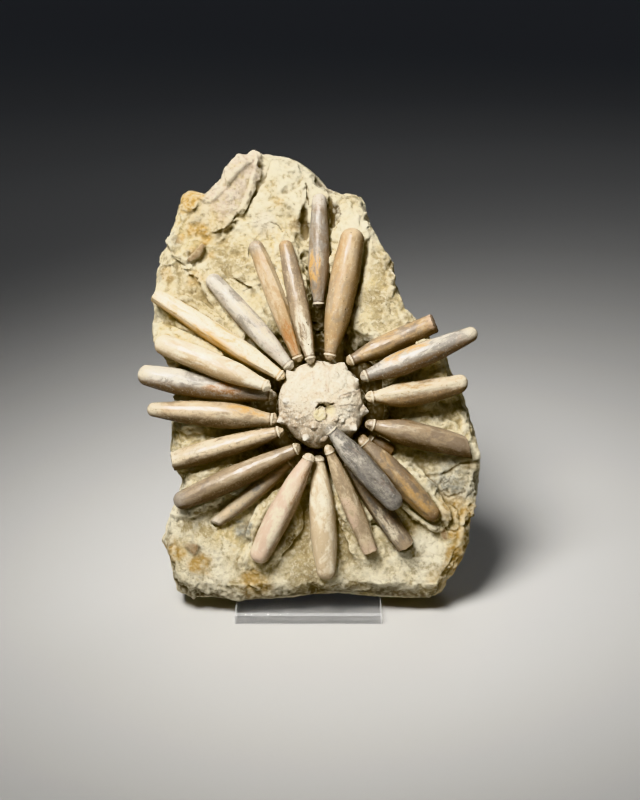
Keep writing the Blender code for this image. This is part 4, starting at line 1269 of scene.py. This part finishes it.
class FOSSIL_OT_slab(bpy.types.Operator):
    """Break and stain the slab of rock"""

    bl_idname = "fossil.slab"
    bl_label = "Rock slab"

    def execute(self, context):
        make_slab(context.scene.fossil_rock)
        return {"FINISHED"}


class FOSSIL_OT_shell(bpy.types.Operator):
    """Model the shell with its knobs, pores and filled opening"""

    bl_idname = "fossil.shell"
    bl_label = "Shell"

    def execute(self, context):
        make_shell(context.scene.fossil_shell)
        return {"FINISHED"}


class FOSSIL_OT_spines(bpy.types.Operator):
    """Model every spine with its collar, shaft and tip"""

    bl_idname = "fossil.spines"
    bl_label = "Spines"

    def execute(self, context):
        make_spines(context.scene.fossil_spines)
        return {"FINISHED"}


class FOSSIL_OT_stand(bpy.types.Operator):
    """Polish the acrylic stand"""

    bl_idname = "fossil.stand"
    bl_label = "Stand"

    def execute(self, context):
        make_stand(context.scene.fossil_stand)
        return {"FINISHED"}


class FOSSIL_OT_stage(bpy.types.Operator):
    """Set up the floor, the lights and the camera"""

    bl_idname = "fossil.stage"
    bl_label = "Stage"

    def execute(self, context):
        make_stage(context.scene.fossil_stage)
        return {"FINISHED"}


LOOKS = {
    "fossil_rock": RockLook,
    "fossil_shell": ShellLook,
    "fossil_spines": SpineLook,
    "fossil_stand": StandLook,
    "fossil_stage": StageLook,
}
OPERATORS = (FOSSIL_OT_slab, FOSSIL_OT_shell, FOSSIL_OT_spines, FOSSIL_OT_stand, FOSSIL_OT_stage)


class FOSSIL_PT_panel(bpy.types.Panel):
    """Sizes, colours and steps of the fossil"""

    bl_idname = "FOSSIL_PT_panel"
    bl_label = "Fossil sea urchin"
    bl_space_type = "VIEW_3D"
    bl_region_type = "UI"
    bl_category = "Fossil"

    def draw(self, context):
        for name, operator in zip(LOOKS, OPERATORS):
            box = self.layout.box()
            look = getattr(context.scene, name)
            for key in look.__annotations__:
                box.prop(look, key)
            box.operator(operator.bl_idname)


def register():
    for name, look in LOOKS.items():
        bpy.utils.register_class(look)
        setattr(bpy.types.Scene, name, PointerProperty(type=look))
    for operator in OPERATORS:
        bpy.utils.register_class(operator)
    bpy.utils.register_class(FOSSIL_PT_panel)


def unregister():
    bpy.utils.unregister_class(FOSSIL_PT_panel)
    for operator in reversed(OPERATORS):
        bpy.utils.unregister_class(operator)
    for name, look in LOOKS.items():
        delattr(bpy.types.Scene, name)
        bpy.utils.unregister_class(look)


def main():
    register()
    bpy.ops.fossil.slab()
    bpy.ops.fossil.shell()
    bpy.ops.fossil.spines()
    bpy.ops.fossil.stand()
    bpy.ops.fossil.stage()


if __name__ == "__main__":
    main()
